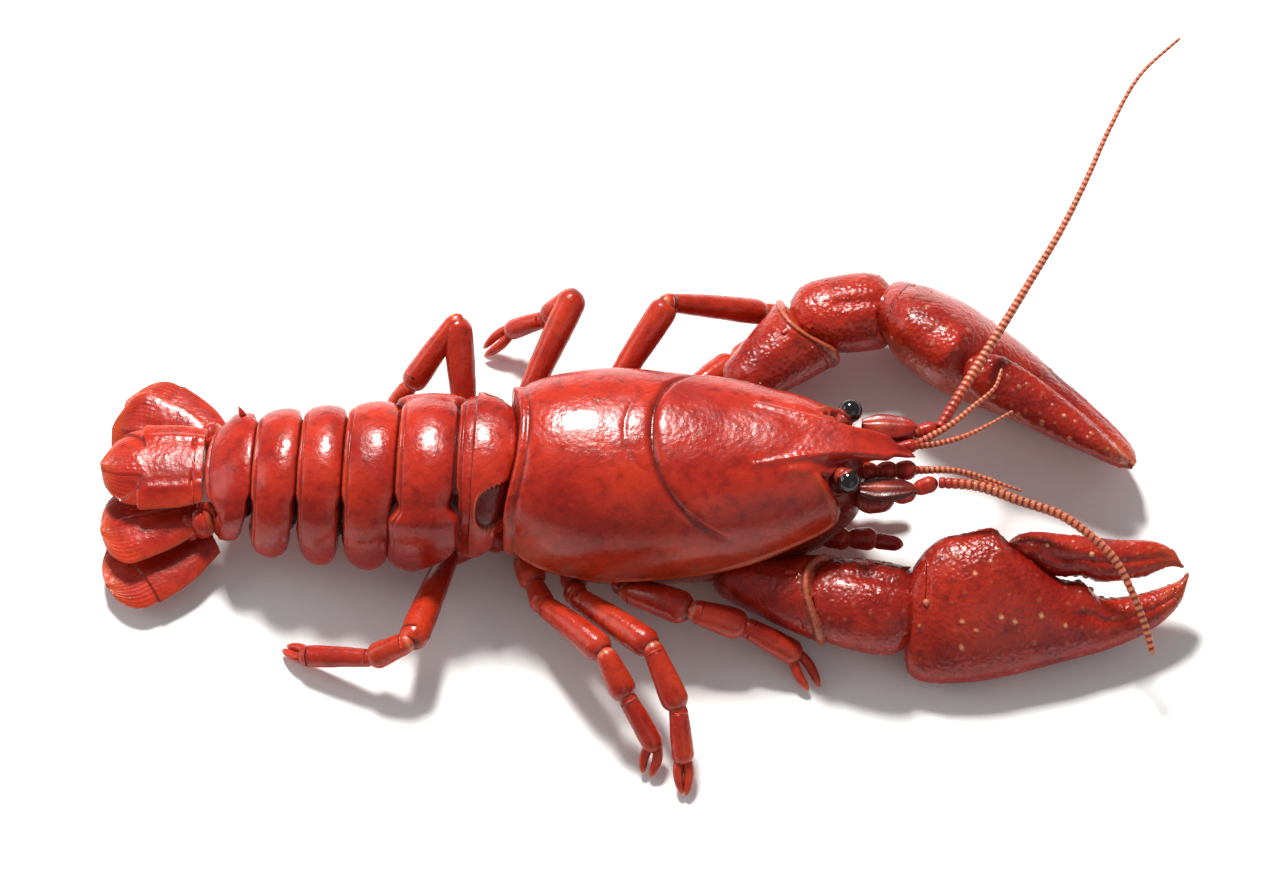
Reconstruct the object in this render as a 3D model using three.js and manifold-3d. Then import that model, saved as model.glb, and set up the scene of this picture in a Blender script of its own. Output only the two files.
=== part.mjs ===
// A cooked crayfish lying on its belly, claws forward and tail straight behind.
//
// Millimetres, +Z up. The head points along +X and the animal's left side along +Y. The origin is on
// the surface it lies on, under the middle of the breast plate, which is flat there.

import * as THREE from "three";
import { mergeVertices } from "three/addons/utils/BufferGeometryUtils.js";
import Module from "manifold-3d";

// ---------------------------------------------------------------- driving dimensions

const GAP = 0.3; // between neighbouring pieces

const CARAPACE_REAR = -12.3;
const HEAD_FRONT = 38.8;
const CARAPACE_HALF_WIDTH = 15.6;
const CARAPACE_HEIGHT = 27.2;

const GROOVE_TOP = 7.5; // where the cervical groove crosses the back
const GROOVE_SWEEP = 10.5; // how far forward it runs on its way down the side
const GROOVE_SIDE_ANGLE = 1.19; // angle from the back at which it has swept that far
const GROOVE_DEPTH = 0.5;
const REAR_SLANT = 1; // how far forward the carapace's rear margin lies on the back, and back low down
const REAR_SLANT_ANGLE = 1.3; // angle from the back at which it lies furthest back

// The middle line of the beak between the eyes.
const ROSTRUM_LINE = [[22, 0, 25.4], [30, 0, 25.4], [36, 0, 24.7], [41, 0, 23.5], [45.9, 0, 21.7]];
const EYE_CENTRE = [35.7, 5.95, 24];
const EYE_RADIUS = 1.7;
const ORBIT_RADIUS = 2.5;

// Length, half-width, height of the back and of the side lobes of each abdomen segment, and how far
// it lies aside from the middle line.
const ABDOMEN = [
  { length: 7.9, halfWidth: 11.8, top: 24, lobe: 7, sway: -0.4 },
  { length: 8.5, halfWidth: 12.2, top: 24, lobe: 4.7, sway: -1.2 },
  { length: 7.7, halfWidth: 12.1, top: 22.8, lobe: 3, sway: -1.4 },
  { length: 6.6, halfWidth: 11.6, top: 21.4, lobe: 3, sway: -1.4 },
  { length: 6.7, halfWidth: 10.9, top: 19.8, lobe: 3.8, sway: -1.2 },
  { length: 7.5, halfWidth: 10.3, top: 17, lobe: 4.4, sway: -0.2 },
];
const TAIL_ROOT = { halfWidth: 7.6, top: 11.4, lobe: 9 }; // what the last segment tapers towards
const RIM_SHARE = 0.89; // of a segment's girth at its rims, where it is narrowest
const LOBE_SHARE = 0.58; // of a segment's length at the bottom of its side lobes
const LAST_REAR_CUT = 0.75; // of the last segment's rear half, cut away down its sides
const LOBE_ARCH = 3.6; // how much deeper a lobe hangs in its middle than at its rims
const TAIL_SWAY = 0.5; // how far the tail fan lies to the left of the middle line

const TAIL_THICKNESS = 1.5;
const INNER_LEAF_ROLL = { left: 0.35, right: 0.05 }; // how far their outer edges are turned up

const CLAW_LENGTH = 40.5; // wrist to finger tips
const CLAW_THICKNESS = 11.4;
const CLAW_SLANT = 0.25; // how far forward the claw's base lies for each millimetre inward
const CLAW_SLANT_REACH = 6; // distance from the wrist at which that has faded out

const FLAGELLUM_RADIUS = 0.82; // of a long antenna, where it starts

const SHELL_COLOUR = 0xb5351c;
const CLAW_COLOUR = 0xa82c18;
const LEG_COLOUR = 0xc5532c;
const ANTENNA_COLOUR = 0xb0401f;
const EYE_COLOUR = 0x0c0a0a;

// ---------------------------------------------------------------- solids

const wasm = await Module();
wasm.setup();

const UP = new THREE.Vector3(0, 0, 1);

function vector([x, y, z]) {
  return new THREE.Vector3(x, y, z);
}

// The point mirrored to the given side: +1 is the animal's left, -1 its right.
function onSide([x, y, z], side) {
  return [x, y * side, z];
}

// A smooth curve through pairs of a place and a value, level beyond its ends.
function profile(...pairs) {
  const last = pairs.length - 1;
  const slope = (i) => {
    const before = pairs[Math.max(i - 1, 0)];
    const after = pairs[Math.min(i + 1, last)];
    return (after[1] - before[1]) / (after[0] - before[0]);
  };
  return (x) => {
    if (x <= pairs[0][0]) return pairs[0][1];
    if (x >= pairs[last][0]) return pairs[last][1];
    const i = pairs.findIndex((pair) => pair[0] > x) - 1;
    const [x0, y0] = pairs[i];
    const [x1, y1] = pairs[i + 1];
    const run = x1 - x0;
    const t = (x - x0) / run;
    const bend = (y1 - y0) * (3 - 2 * t) * t * t;
    return y0 + bend + run * t * (1 - t) * (slope(i) * (1 - t) - slope(i + 1) * t);
  };
}

function isInsideOut(geometry) {
  const position = geometry.getAttribute("position");
  const index = geometry.getIndex();
  const corners = [0, 1, 2].map(() => new THREE.Vector3());
  let volume = 0;
  for (let i = 0; i < index.count; i += 3) {
    corners.forEach((corner, k) => corner.fromBufferAttribute(position, index.getX(i + k)));
    volume += corners[0].dot(corners[1].clone().cross(corners[2]));
  }
  return volume < 0;
}

function turnFaces(geometry) {
  const index = geometry.getIndex();
  for (let i = 0; i < index.count; i += 3) {
    const first = index.getX(i);
    index.setX(i, index.getX(i + 1));
    index.setX(i + 1, first);
  }
}

// A closed solid stretched over rings of points. place(ring, angle) gives a point of each ring, and a
// point in the middle of the first and of the last ring closes the ends.
function loft(rings, sides, place) {
  const geometry = new THREE.SphereGeometry(1, sides, rings + 1);
  const position = geometry.getAttribute("position");
  const pointsPerRow = sides + 1;
  const ringPoints = (ring) => {
    return Array.from({ length: sides }, (_, k) => place(ring, (2 * Math.PI * k) / sides));
  };
  const middle = (points) => {
    const sum = points.reduce((total, point) => total.add(point), new THREE.Vector3());
    return sum.divideScalar(points.length);
  };
  const first = ringPoints(0);
  const last = ringPoints(rings - 1);
  for (let row = 0; row <= rings + 1; row += 1) {
    let points = row > 0 && row <= rings ? ringPoints(row - 1) : null;
    if (row === 0) points = [middle(first)];
    if (row === rings + 1) points = [middle(last)];
    for (let k = 0; k < pointsPerRow; k += 1) {
      const point = points[k % points.length];
      position.setXYZ(row * pointsPerRow + k, point.x, point.y, point.z);
    }
  }
  geometry.deleteAttribute("normal");
  geometry.deleteAttribute("uv");
  const merged = mergeVertices(geometry, 1e-4);
  if (isInsideOut(merged)) turnFaces(merged);
  return new wasm.Manifold(new wasm.Mesh({
    numProp: 3,
    vertProperties: Float32Array.from(merged.getAttribute("position").array),
    triVerts: Uint32Array.from(merged.getIndex().array),
  }));
}

// A loft along a curve. section(t, angle) gives how far a point of the ring at t lies to the curve's
// right and above it; roll turns the rings about the curve.
function sweep(curve, places, sides, section, roll = 0) {
  return loft(places.length, sides, (ring, angle) => {
    const t = places[ring];
    const point = curve.getPointAt(t);
    const forward = curve.getTangentAt(t);
    const right = new THREE.Vector3().crossVectors(forward, UP).normalize();
    right.applyAxisAngle(forward, roll);
    const above = new THREE.Vector3().crossVectors(right, forward);
    const [across, height] = section(t, angle);
    return point.addScaledVector(right, across).addScaledVector(above, height);
  });
}

function evenly(count) {
  return Array.from({ length: count }, (_, i) => i / (count - 1));
}

// How far an angle round a ring lies from straight up, on either side.
function angleDown(angle) {
  return Math.min(angle, 2 * Math.PI - angle);
}

// sin and cos with squarer shoulders: power 1 is a circle, smaller powers bulge towards a box.
function squared(value, power) {
  return Math.sign(value) * Math.abs(value) ** power;
}

const BARREL_PLACES = [0, 0.1, 0.85, 1];
const BARREL_END = 0.55; // the radius of its ends as a share of the radius beside them

// One segment of a limb: a barrel from joint to joint, with the radius that it has near each.
function barrel(from, to, startRadius, endRadius, { flatness = 1, sides = 8, margin = 0 } = {}) {
  const radius = (t) => {
    const isEnd = t === 0 || t === 1;
    return (startRadius + (endRadius - startRadius) * t) * (isEnd ? BARREL_END : 1) + margin;
  };
  return sweep(new THREE.LineCurve3(vector(from), vector(to)), BARREL_PLACES, sides, (t, angle) => {
    return [radius(t) * Math.sin(angle), radius(t) * flatness * Math.cos(angle)];
  });
}

function ball(centre, radius, sides = 10) {
  const rings = sides / 2 - 1;
  return loft(rings, sides, (ring, angle) => {
    const fromPole = (Math.PI * (ring + 0.6)) / (rings + 0.2);
    return vector(centre).add(new THREE.Vector3(
      radius * Math.sin(fromPole) * Math.sin(angle),
      radius * Math.sin(fromPole) * Math.cos(angle),
      radius * Math.cos(fromPole),
    ));
  });
}

// The point part of the way from one point to another.
function between(from, to, share) {
  return from.map((value, i) => value + (to[i] - value) * share);
}

const crayfish = new THREE.Group();

function addPiece(name, solid, color, roughness = 0.4) {
  const mesh = solid.getMesh();
  const geometry = new THREE.BufferGeometry();
  geometry.setAttribute("position", new THREE.BufferAttribute(mesh.vertProperties, 3));
  geometry.setIndex(new THREE.BufferAttribute(mesh.triVerts, 1));
  geometry.computeVertexNormals();
  const piece = new THREE.Mesh(geometry, new THREE.MeshStandardMaterial({ color, roughness }));
  piece.name = name;
  crayfish.add(piece);
}

// ---------------------------------------------------------------- carapace and head

const halfWidthAt = profile(
  [CARAPACE_REAR, 11.8], [-7, 14.2], [0, CARAPACE_HALF_WIDTH], [9, 15.4], [17, 14.4],
  [25, 12.6], [30, 11], [35, 8.4], [37.5, 6.4], [HEAD_FRONT, 3.6],
);
const topAt = profile(
  [CARAPACE_REAR, 25.2], [-7, 26.6], [0, CARAPACE_HEIGHT], [17, 27.1], [29, 26.5],
  [34, 24.6], [37, 21.5], [HEAD_FRONT, 18.4],
);
const middleAt = profile([CARAPACE_REAR, 14], [22, 14], [30, 15], [HEAD_FRONT, 16]);
const undersideAt = profile(
  [CARAPACE_REAR, 4], [-8, -0.6], [20, -0.6], [28, 2.5], [34, 7], [HEAD_FRONT, 13.6],
);

const CARAPACE_RINGS = [
  CARAPACE_REAR, -11.4, -9, -5.5, -1.5, 2.5, 5.4, GROOVE_TOP - 0.9, GROOVE_TOP, GROOVE_TOP + 0.9,
  11, 15.5, 20, 24.5, 28.5, 32, 35, 37, 38.2, HEAD_FRONT,
];

// How far forward of its place the joint between carapace and abdomen lies at an angle down the side.
function rearSlant(angle) {
  return REAR_SLANT * Math.cos(Math.PI * Math.min(angleDown(angle) / REAR_SLANT_ANGLE, 1));
}

// How far forward of its place on the back a ring lies at an angle down the side: the rings follow the
// cervical groove, and straighten out towards both ends of the carapace.
function grooveBow(x, angle) {
  const down = angleDown(angle);
  const reach = x < GROOVE_TOP ? GROOVE_TOP - CARAPACE_REAR : HEAD_FRONT - GROOVE_TOP;
  const share = Math.max(0, 1 - Math.abs(x - GROOVE_TOP) / reach);
  const sweepShare = Math.min(down / GROOVE_SIDE_ANGLE, 1.1) ** 2.1;
  return GROOVE_SWEEP * sweepShare * Math.sin((Math.PI / 2) * share) ** 2;
}

// The carapace with the breast below it, every wall moved out by the margin.
function carapaceBody(margin) {
  return loft(CARAPACE_RINGS.length, 28, (ring, angle) => {
    const isBack = ring === 0;
    const isFront = ring === CARAPACE_RINGS.length - 1;
    const place = CARAPACE_RINGS[ring];
    const nearRear = Math.max(0, 1 - (place - CARAPACE_REAR) / 12);
    const x = place + grooveBow(place, angle) + rearSlant(angle) * nearRear ** 2;
    const groove = place === GROOVE_TOP && Math.cos(angle) > -0.1 ? GROOVE_DEPTH : 0;
    const halfWidth = halfWidthAt(x) + margin - groove;
    const isUpper = Math.cos(angle) >= 0;
    const edge = isUpper ? topAt(x) + margin - groove : undersideAt(x) - margin;
    const power = isUpper ? 0.92 : 0.8;
    const z = middleAt(x) + Math.abs(edge - middleAt(x)) * squared(Math.cos(angle), power);
    const shift = (isBack ? -margin : 0) + (isFront ? margin : 0);
    return new THREE.Vector3(x + shift, halfWidth * squared(Math.sin(angle), power), Math.max(z, -margin));
  });
}

// The beak between the eyes: a flat-topped spike with a shoulder where it narrows to its point.
function rostrum(margin) {
  const halfWidth = profile([0, 6], [0.35, 3.7], [0.56, 2.6], [0.79, 2.05], [0.85, 1.3], [1, 0.25]);
  const halfHeight = profile([0, 1.2], [0.35, 1.4], [0.6, 1.5], [0.8, 1.1], [1, 0.25]);
  const curve = new THREE.CatmullRomCurve3(ROSTRUM_LINE.map(vector));
  return sweep(curve, [0, 0.2, 0.4, 0.56, 0.7, 0.79, 0.85, 0.92, 1], 12, (t, angle) => [
    (halfWidth(t) + margin) * squared(Math.sin(angle), 0.8),
    (halfHeight(t) + margin) * squared(Math.cos(angle), 0.8),
  ]);
}

// The whole fore body with its eye sockets, grown by the margin: what the limbs are cut back from.
function foreBody(margin) {
  const sockets = [1, -1].map((side) => ball(onSide(EYE_CENTRE, side), ORBIT_RADIUS - margin));
  return sockets.reduce((body, socket) => body.subtract(socket), carapaceBody(margin).add(rostrum(margin)));
}

const body = foreBody(0);
const bodyWithGap = foreBody(GAP);
addPiece("carapace", body, SHELL_COLOUR);

function addAttached(name, solid, color, roughness) {
  addPiece(name, solid.subtract(bodyWithGap), color, roughness);
}

// ---------------------------------------------------------------- eyes

function eye(side) {
  const centre = onSide(EYE_CENTRE, side);
  const root = [centre[0] - 1.8, centre[1] - 2.6 * side, centre[2] - 1.3];
  return ball(centre, EYE_RADIUS).add(barrel(root, centre, 1.1, 1.2, { sides: 6 }));
}

// ---------------------------------------------------------------- abdomen

// One segment: an arch that swells between its rims, with sides that narrow to rounded lobes, so that
// notches open between neighbours.
function abdomenSegment(front, { length, halfWidth, top, lobe, sway }, next, { isFirst, isLast }) {
  const places = [0, 0.08, 0.3, 0.7, 0.92, 1];
  const rimDrop = 8; // how far the back would drop if the segment narrowed to nothing
  const lobeStart = 1.45; // the angle from the back at which the sides start to narrow
  return loft(places.length, 22, (ring, angle) => {
    const t = places[ring];
    const fade = t * 0.6;
    const swell = Math.sqrt(Math.max(0, 1 - (2 * t - 1) ** 2));
    const girth = RIM_SHARE + (1 - RIM_SHARE) * swell;
    const width = (halfWidth + (next.halfWidth - halfWidth) * fade) * girth;
    const back = (top + (next.top - top) * fade) - (1 - girth) * rimDrop;
    const side = lobe + (next.lobe - lobe) * fade + (1 - swell) * LOBE_ARCH;
    const middle = side + 0.42 * (back - side);
    const down = angleDown(angle);
    const narrow = 1 - (1 - LOBE_SHARE) * Math.min(Math.max((down - lobeStart) / 0.8, 0), 1) ** 2;
    const bare = isLast && t > 0.5 ? 1 - LAST_REAR_CUT * Math.min(down / REAR_SLANT_ANGLE, 1) ** 2 : 1;
    const slant = isFirst ? (rearSlant(angle) - GAP / 2) * (1 - t) ** 2 : 0;
    const isUpper = Math.cos(angle) >= 0;
    const power = isUpper ? 0.92 : 0.45;
    const y = width * squared(Math.sin(angle), power);
    const belly = isUpper ? 0 : 1.6 * (1 - (y / width) ** 4);
    const reach = isUpper ? back - middle : middle - side;
    const z = middle + reach * squared(Math.cos(angle), power) + belly;
    return new THREE.Vector3(front + slant - length * (0.5 + (t - 0.5) * narrow * bare), sway + y, z);
  });
}

function addAbdomen() {
  let front = CARAPACE_REAR - GAP;
  ABDOMEN.forEach((segment, i) => {
    const next = ABDOMEN[i + 1] ?? TAIL_ROOT;
    const ends = { isFirst: i === 0, isLast: i === ABDOMEN.length - 1 };
    const solid = abdomenSegment(front, { ...segment, length: segment.length - GAP }, next, ends);
    addPiece(`abdomen_segment_${i + 1}`, solid, SHELL_COLOUR);
    front -= segment.length;
  });
  return front;
}

// ---------------------------------------------------------------- tail fan

// A thin leaf from its root to its outer end: halfWidth(t) is its outline, and it is dished by the
// sag, so that its edges hang below its middle.
function leaf(root, end, halfWidth, sag, roll) {
  const places = [0, 0.05, 0.2, 0.4, 0.6, 0.78, 0.9, 0.97, 1];
  const curve = new THREE.LineCurve3(vector(root), vector(end));
  return sweep(curve, places, 10, (t, angle) => {
    const across = Math.sin(angle);
    const thin = TAIL_THICKNESS * (t > 0.9 ? 0.55 : 1);
    return [
      halfWidth(t) * across,
      0.5 * thin * squared(Math.cos(angle), 0.7) - sag * across * across,
    ];
  }, roll);
}

// The knuckle that carries the two side leaves of one side.
function tailKnuckle(side, margin = 0) {
  const root = [-55, TAIL_SWAY + 6.9 * side, 7.6];
  const end = [-59.4, TAIL_SWAY + 7.6 * side, 7];
  return barrel(root, end, 2.3, 2.1, { margin, sides: 7 });
}

function addTailFan(front) {
  const telsonOutline = profile([0, 6.2], [0.2, 6.9], [0.6, 7.1], [0.85, 6], [0.95, 4.4], [1, 1.6]);
  const innerOutline = profile(
    [0, 3], [0.25, 4.6], [0.5, 5.6], [0.75, 6.2], [0.88, 5.7], [0.95, 4.6], [1, 1],
  );
  const outerOutline = profile([0, 2.4], [0.3, 4.8], [0.6, 5.4], [0.8, 5.6], [0.9, 5], [0.96, 3.8], [1, 1.4]);
  const telson = leaf([front, TAIL_SWAY, 12.5], [-72.6, TAIL_SWAY, 11.3], telsonOutline, 1.2, 0);
  addPiece("telson", telson, SHELL_COLOUR);
  for (const [side, word] of [[1, "left"], [-1, "right"]]) {
    const beside = (y) => TAIL_SWAY + y * side;
    const innerLine = [[-58.2, beside(5.4), 7.9], [-72.2, beside(8.8), 6.5]];
    const outerLine = [[-56, beside(8), 4.7], [-71.1, beside(15.7), 3.3]];
    const inner = leaf(...innerLine, innerOutline, 0.6, -INNER_LEAF_ROLL[word] * side);
    const outer = leaf(...outerLine, outerOutline, 0.5, 0);
    const socket = tailKnuckle(side, GAP);
    addPiece(`uropod_inner_${word}`, inner.subtract(socket), SHELL_COLOUR);
    addPiece(`uropod_outer_${word}`, outer.subtract(socket), SHELL_COLOUR);
    addPiece(`tail_knuckle_${word}`, tailKnuckle(side), SHELL_COLOUR);
  }
}

// ---------------------------------------------------------------- walking legs

const LEG_RADII = { hip: 2.1, merus: 2.15, carpus: 1.9, propodus: 1.5, finger: 0.75 };

// Two fingers side by side from the end of the leg, meeting at the tip.
function pincer(from, tip, spread) {
  const axis = vector(tip).sub(vector(from)).normalize();
  const aside = new THREE.Vector3().crossVectors(axis, UP).normalize().multiplyScalar(spread);
  return [-1, 1].map((hand) => {
    const root = vector(from).addScaledVector(aside, hand).toArray();
    const end = vector(tip).addScaledVector(aside, hand * 0.7).toArray();
    return barrel(root, end, LEG_RADII.finger, LEG_RADII.finger * 0.75, { sides: 5 });
  });
}

// A walking leg through its joints: hip, base, knee, wrist, palm and finger tip.
function leg([hip, base, knee, wrist, palm, tip]) {
  const { hip: hipRadius, merus, carpus, propodus } = LEG_RADII;
  const shape = { sides: 7 };
  const segments = [
    barrel(hip, between(hip, base, 1.06), hipRadius, merus * 0.9, shape),
    barrel(base, knee, merus * 0.85, merus, shape),
    barrel(between(knee, wrist, -0.06), wrist, merus * 0.85, carpus, shape),
    barrel(between(wrist, palm, -0.05), palm, carpus * 0.78, propodus * 0.95, shape),
    ...pincer(between(wrist, palm, 0.93), tip, 0.66),
  ];
  return segments.reduce((whole, segment) => whole.add(segment));
}

const RIGHT_LEGS = [
  [[4, -10, 4], [4.1, -14.6, 6], [13.8, -19.4, 9], [21.7, -20.3, 6.5], [29.6, -22.9, 3.4], [32.1, -27, 0.9]],
  [[-3.5, -10, 4], [-2.7, -16.8, 7], [8.6, -27.2, 12], [12.7, -34.7, 8], [13.8, -40.9, 3.4], [14, -45, 0.9]],
  [[-11, -8.5, 5], [-7.3, -18.3, 7], [1.9, -27.8, 11], [5.3, -33.3, 8], [9.8, -38.9, 3.4], [8.5, -42, 0.9]],
  [
    [-9, -1.5, 2], [-21.6, -7.4, 2], [-25.6, -26.2, 9],
    [-31.5, -27.3, 5.5], [-41.6, -25.5, 2.4], [-44.6, -23.4, 0.9],
  ],
];
const LEFT_LEGS = [
  [[8, 9, 4], [9.8, 17.2, 5], [18.6, 26.2, 4.6], [21.8, 29.3, 3.4], [24.6, 31.2, 2.2], [26.8, 32.6, 0.9]],
  [[-1, 9, 4], [0.2, 17.6, 6.5], [8.6, 29.8, 14], [22.5, 34.4, 5.6], [25.9, 35.7, 3], [28.5, 36.6, 0.9]],
  [[-9, 8, 4], [-12.2, 16.2, 5.6], [-5.1, 30.8, 14], [-9.4, 29.2, 9.4], [-15.2, 30.1, 4.6], [-19, 28.4, 0.9]],
  [[-9, 4, 2], [-20.3, 12, 2.2], [-22.3, 26, 13], [-28.9, 18.7, 6.5], [-31.6, 16.7, 2.6], [-32.7, 15.8, 0.9]],
];

// ---------------------------------------------------------------- claws and their arms

// The claw in its own plane: distance from the wrist, against the edge on the outer side and the edge
// on the inner side, where the movable finger is.
const CLAW_OUTER = profile(
  [-1.6, 6.4], [-0.9, 8.2], [1.2, 9.9], [5.7, 10.9], [12.5, 10.8], [20.5, 9.9], [28.6, 8.8],
  [34.7, 6.8], [39, 3.6], [CLAW_LENGTH, 0.2],
);
const PALM_INNER = profile(
  [-1.6, 5.4], [-0.9, 7.2], [0.7, 9], [4.4, 10.5], [8.6, 10.8], [12.2, 11.1], [12.9, 10.8], [14.6, 8.7],
  [17.2, 6.5], [20.1, 3.3], [22.2, 1.9], [24.8, 1.3], [26.8, -1.1], [31, -1.8], [35.5, -1.3], [39, -0.5],
  [CLAW_LENGTH, 0.5],
);
const CLAW_HALF_THICKNESS = profile(
  [-1.6, 0.26], [-0.9, 0.32], [3, 0.45], [9, 0.5], [17, 0.46], [24, 0.36], [32, 0.26], [38, 0.16],
  [CLAW_LENGTH, 0.06],
);
const FINGER_END = CLAW_LENGTH - 0.6;
const FINGER_OUTSIDE = profile(
  [14.4, 8.2], [15.3, 9], [17, 9.5], [19.5, 9.4], [24, 8.3], [30, 6.9], [36.4, 5.6], [38.9, 3.8],
  [FINGER_END, 1.6],
);
const FINGER_INSIDE = profile(
  [14.4, 7.2], [17.2, 5.2], [20.1, 3], [22.2, 2.4], [24.8, 2.1], [27.4, 0.95], [31.8, 0.7], [34.4, 0.8],
  [37.6, 1.6], [FINGER_END, 1.2],
);
const FINGER_HALF_THICKNESS = profile(
  [14.4, 0.9], [16.4, 2.7], [19.5, 3.5], [24, 3.4], [32, 2.4], [FINGER_END, 0.5],
);

const CLAW_RINGS = [
  -1.6, -0.9, 1, 4.5, 9, 12.6, 14.6, 17.2, 20.2, 22.6, 24.8, 26.8, 31, 35.5, 39, CLAW_LENGTH,
];
const FINGER_RINGS = [14.4, 15.3, 17.2, 20.2, 24.8, 29.5, 34.4, 37.8, FINGER_END];

// A solid of the claw between its two edges, thickest along its middle and flat where it rests. The
// inner edge of the claw is turned up by the arm's roll.
function clawPiece({ wrist, tip, side, roll }, { rings, sides, inner, outer, halfThickness }, margin) {
  const start = vector(wrist);
  const direction = vector(tip).sub(start).normalize();
  const scale = vector(tip).distanceTo(start) / CLAW_LENGTH;
  const from = start.clone().addScaledVector(direction, rings[0] * scale - margin);
  const to = start.clone().addScaledVector(direction, rings.at(-1) * scale + margin);
  const places = rings.map((place) => (place - rings[0]) / (rings.at(-1) - rings[0]));
  const solid = sweep(new THREE.LineCurve3(from, to), places, sides, (t, angle) => {
    const place = rings[0] + t * (rings.at(-1) - rings[0]);
    const middle = (inner(place) + outer(place)) / 2;
    const half = (inner(place) - outer(place)) / 2 + margin;
    const across = middle + half * squared(Math.sin(angle), 0.9);
    return [across * side * scale, (halfThickness(place) + margin) * scale * Math.cos(angle)];
  }, -roll * side);
  const inward = new THREE.Vector3().crossVectors(direction, UP).multiplyScalar(side);
  return solid.warp((point) => {
    const offset = new THREE.Vector3(...point).sub(start);
    const nearWrist = Math.max(0, 1 - Math.max(0, offset.dot(direction)) / CLAW_SLANT_REACH);
    const shift = CLAW_SLANT * offset.dot(inward) * nearWrist;
    point[0] += direction.x * shift;
    point[1] += direction.y * shift;
    point[2] = Math.max(point[2], -margin);
  });
}

// The claw without its movable finger. Where the claw is shut, its fixed finger reaches the movable one.
function claw(arm, margin = 0) {
  const shutInner = (place) => Math.max(PALM_INNER(place), FINGER_INSIDE(place) - GAP);
  return clawPiece(arm, {
    rings: CLAW_RINGS,
    sides: 14,
    inner: arm.isShut ? shutInner : PALM_INNER,
    outer: (place) => -CLAW_OUTER(place),
    halfThickness: (place) => CLAW_THICKNESS * CLAW_HALF_THICKNESS(place),
  }, margin);
}

function clawFinger(arm) {
  return clawPiece(arm, {
    rings: FINGER_RINGS,
    sides: 12,
    inner: FINGER_OUTSIDE,
    outer: FINGER_INSIDE,
    halfThickness: FINGER_HALF_THICKNESS,
  }, 0);
}

const ARMS = {
  right: {
    side: -1, roll: 0.6, isShut: false, wristShare: 1, bendRadius: 3,
    shoulder: [13, -7.6, 7], bend: [17.5, -11.6, 7], elbow: [33.4, -16.1, 7.9],
    cuff: [29.8, -15.4, 8], wrist: [46.4, -17.9, 8], tip: [85.2, -9.8, 8],
  },
  left: {
    side: 1, roll: 0.95, isShut: true, wristShare: 0.88, bendRadius: 3.6,
    shoulder: [12, 8, 7], bend: [19, 18.6, 8.4], elbow: [29.9, 29.3, 9.2],
    cuff: [27, 31.2, 9.2], wrist: [42.4, 33.4, 9.3], tip: [77.8, 8.8, 7.5],
  },
};

const ELBOW_RADIUS = 6.3;

// The arm from the body to the elbow, which widens all the way.
function upperArm({ shoulder, bend, elbow, bendRadius }) {
  const places = [0, 0.12, 0.92, 1];
  const endShare = [0.8, 1, 1, 0.93];
  const thigh = sweep(new THREE.LineCurve3(vector(bend), vector(elbow)), places, 12, (t, angle) => {
    const radius = (bendRadius + (ELBOW_RADIUS - bendRadius) * t) * endShare[places.indexOf(t)];
    return [radius * 1.05 * Math.sin(angle), radius * 0.95 * Math.cos(angle)];
  });
  return barrel(shoulder, between(shoulder, bend, 1.12), 2.4, 2.4).add(thigh);
}

function wristPiece({ cuff, wrist, wristShare }, margin = 0) {
  const halfWidth = profile([0, 3], [0.08, 5], [0.2, 6.2], [0.45, 6.9], [0.76, 6.9], [0.9, 6], [1, 3.6]);
  const halfHeight = profile([0, 2.6], [0.08, 4.2], [0.2, 5], [0.5, 5.7], [0.78, 5.6], [0.9, 4.8], [1, 3]);
  const places = [0, 0.05, 0.2, 0.45, 0.72, 0.86, 0.94, 1];
  const shaft = new THREE.LineCurve3(vector(cuff), vector(wrist));
  return sweep(shaft, places, 16, (t, angle) => [
    (halfWidth(t) * wristShare + margin) * Math.sin(angle),
    (halfHeight(t) * wristShare + margin) * Math.cos(angle),
  ]);
}

// ---------------------------------------------------------------- antennae and mouth limbs

// A limb that tapers to a point along a curve through the given places.
function whip(points, startRadius, endRadius, rings, sides) {
  const curve = new THREE.CatmullRomCurve3(points.map(vector));
  return sweep(curve, evenly(rings), sides, (t, angle) => {
    const radius = startRadius + (endRadius - startRadius) * t;
    return [radius * Math.sin(angle), radius * Math.cos(angle)];
  });
}

const ANTENNAE = {
  right: [
    [48.6, -3.5, 20.7], [54, -4, 21], [60.2, -5.5, 19.8], [66, -7.1, 19], [70.3, -9.4, 17.6],
    [74, -12.2, 15.6], [76.8, -16.3, 13], [78.6, -19.7, 10.5], [80, -23.2, 8],
  ],
  left: [
    [48.6, 6.3, 19.6], [53.6, 16, 20.4], [57.2, 22.7, 21], [61.8, 31.7, 21.4],
    [66.2, 40.5, 21.8], [69.9, 49.4, 22.2], [73.3, 58.5, 22.4], [77.9, 68.3, 22.6], [84, 75.5, 22.6],
  ],
};

const ANTENNULES = {
  right: [
    [[45, -1.2, 20.2], [51.6, -1.3, 20.4], [60.5, -3.7, 19.6]],
    [[45, -1.2, 20], [51, -0.9, 19.6], [58.6, -3, 18.4]],
  ],
  left: [
    [[45, 2.9, 20.2], [50, 5.6, 21.6], [53.4, 8.8, 22], [56.4, 12, 22.2], [57.4, 15.4, 22]],
    [[45, 2.8, 20.2], [48.4, 3.3, 20.3], [52.3, 4.8, 20.2], [55.9, 7, 20.2], [59.2, 9.4, 20.2]],
  ],
};

function antennaBase(side, [x, y, z], margin = 0) {
  const start = [36.8, 5.2 * side, 17.4];
  const middle = [42.4, 4.9 * side, 18.8];
  const end = [x - 0.6, y, z - 0.1];
  return barrel(start, middle, 2.3, 1.9, { margin })
    .add(barrel(between(start, middle, 0.9), end, 1.7, 1.2, { margin }));
}

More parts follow.
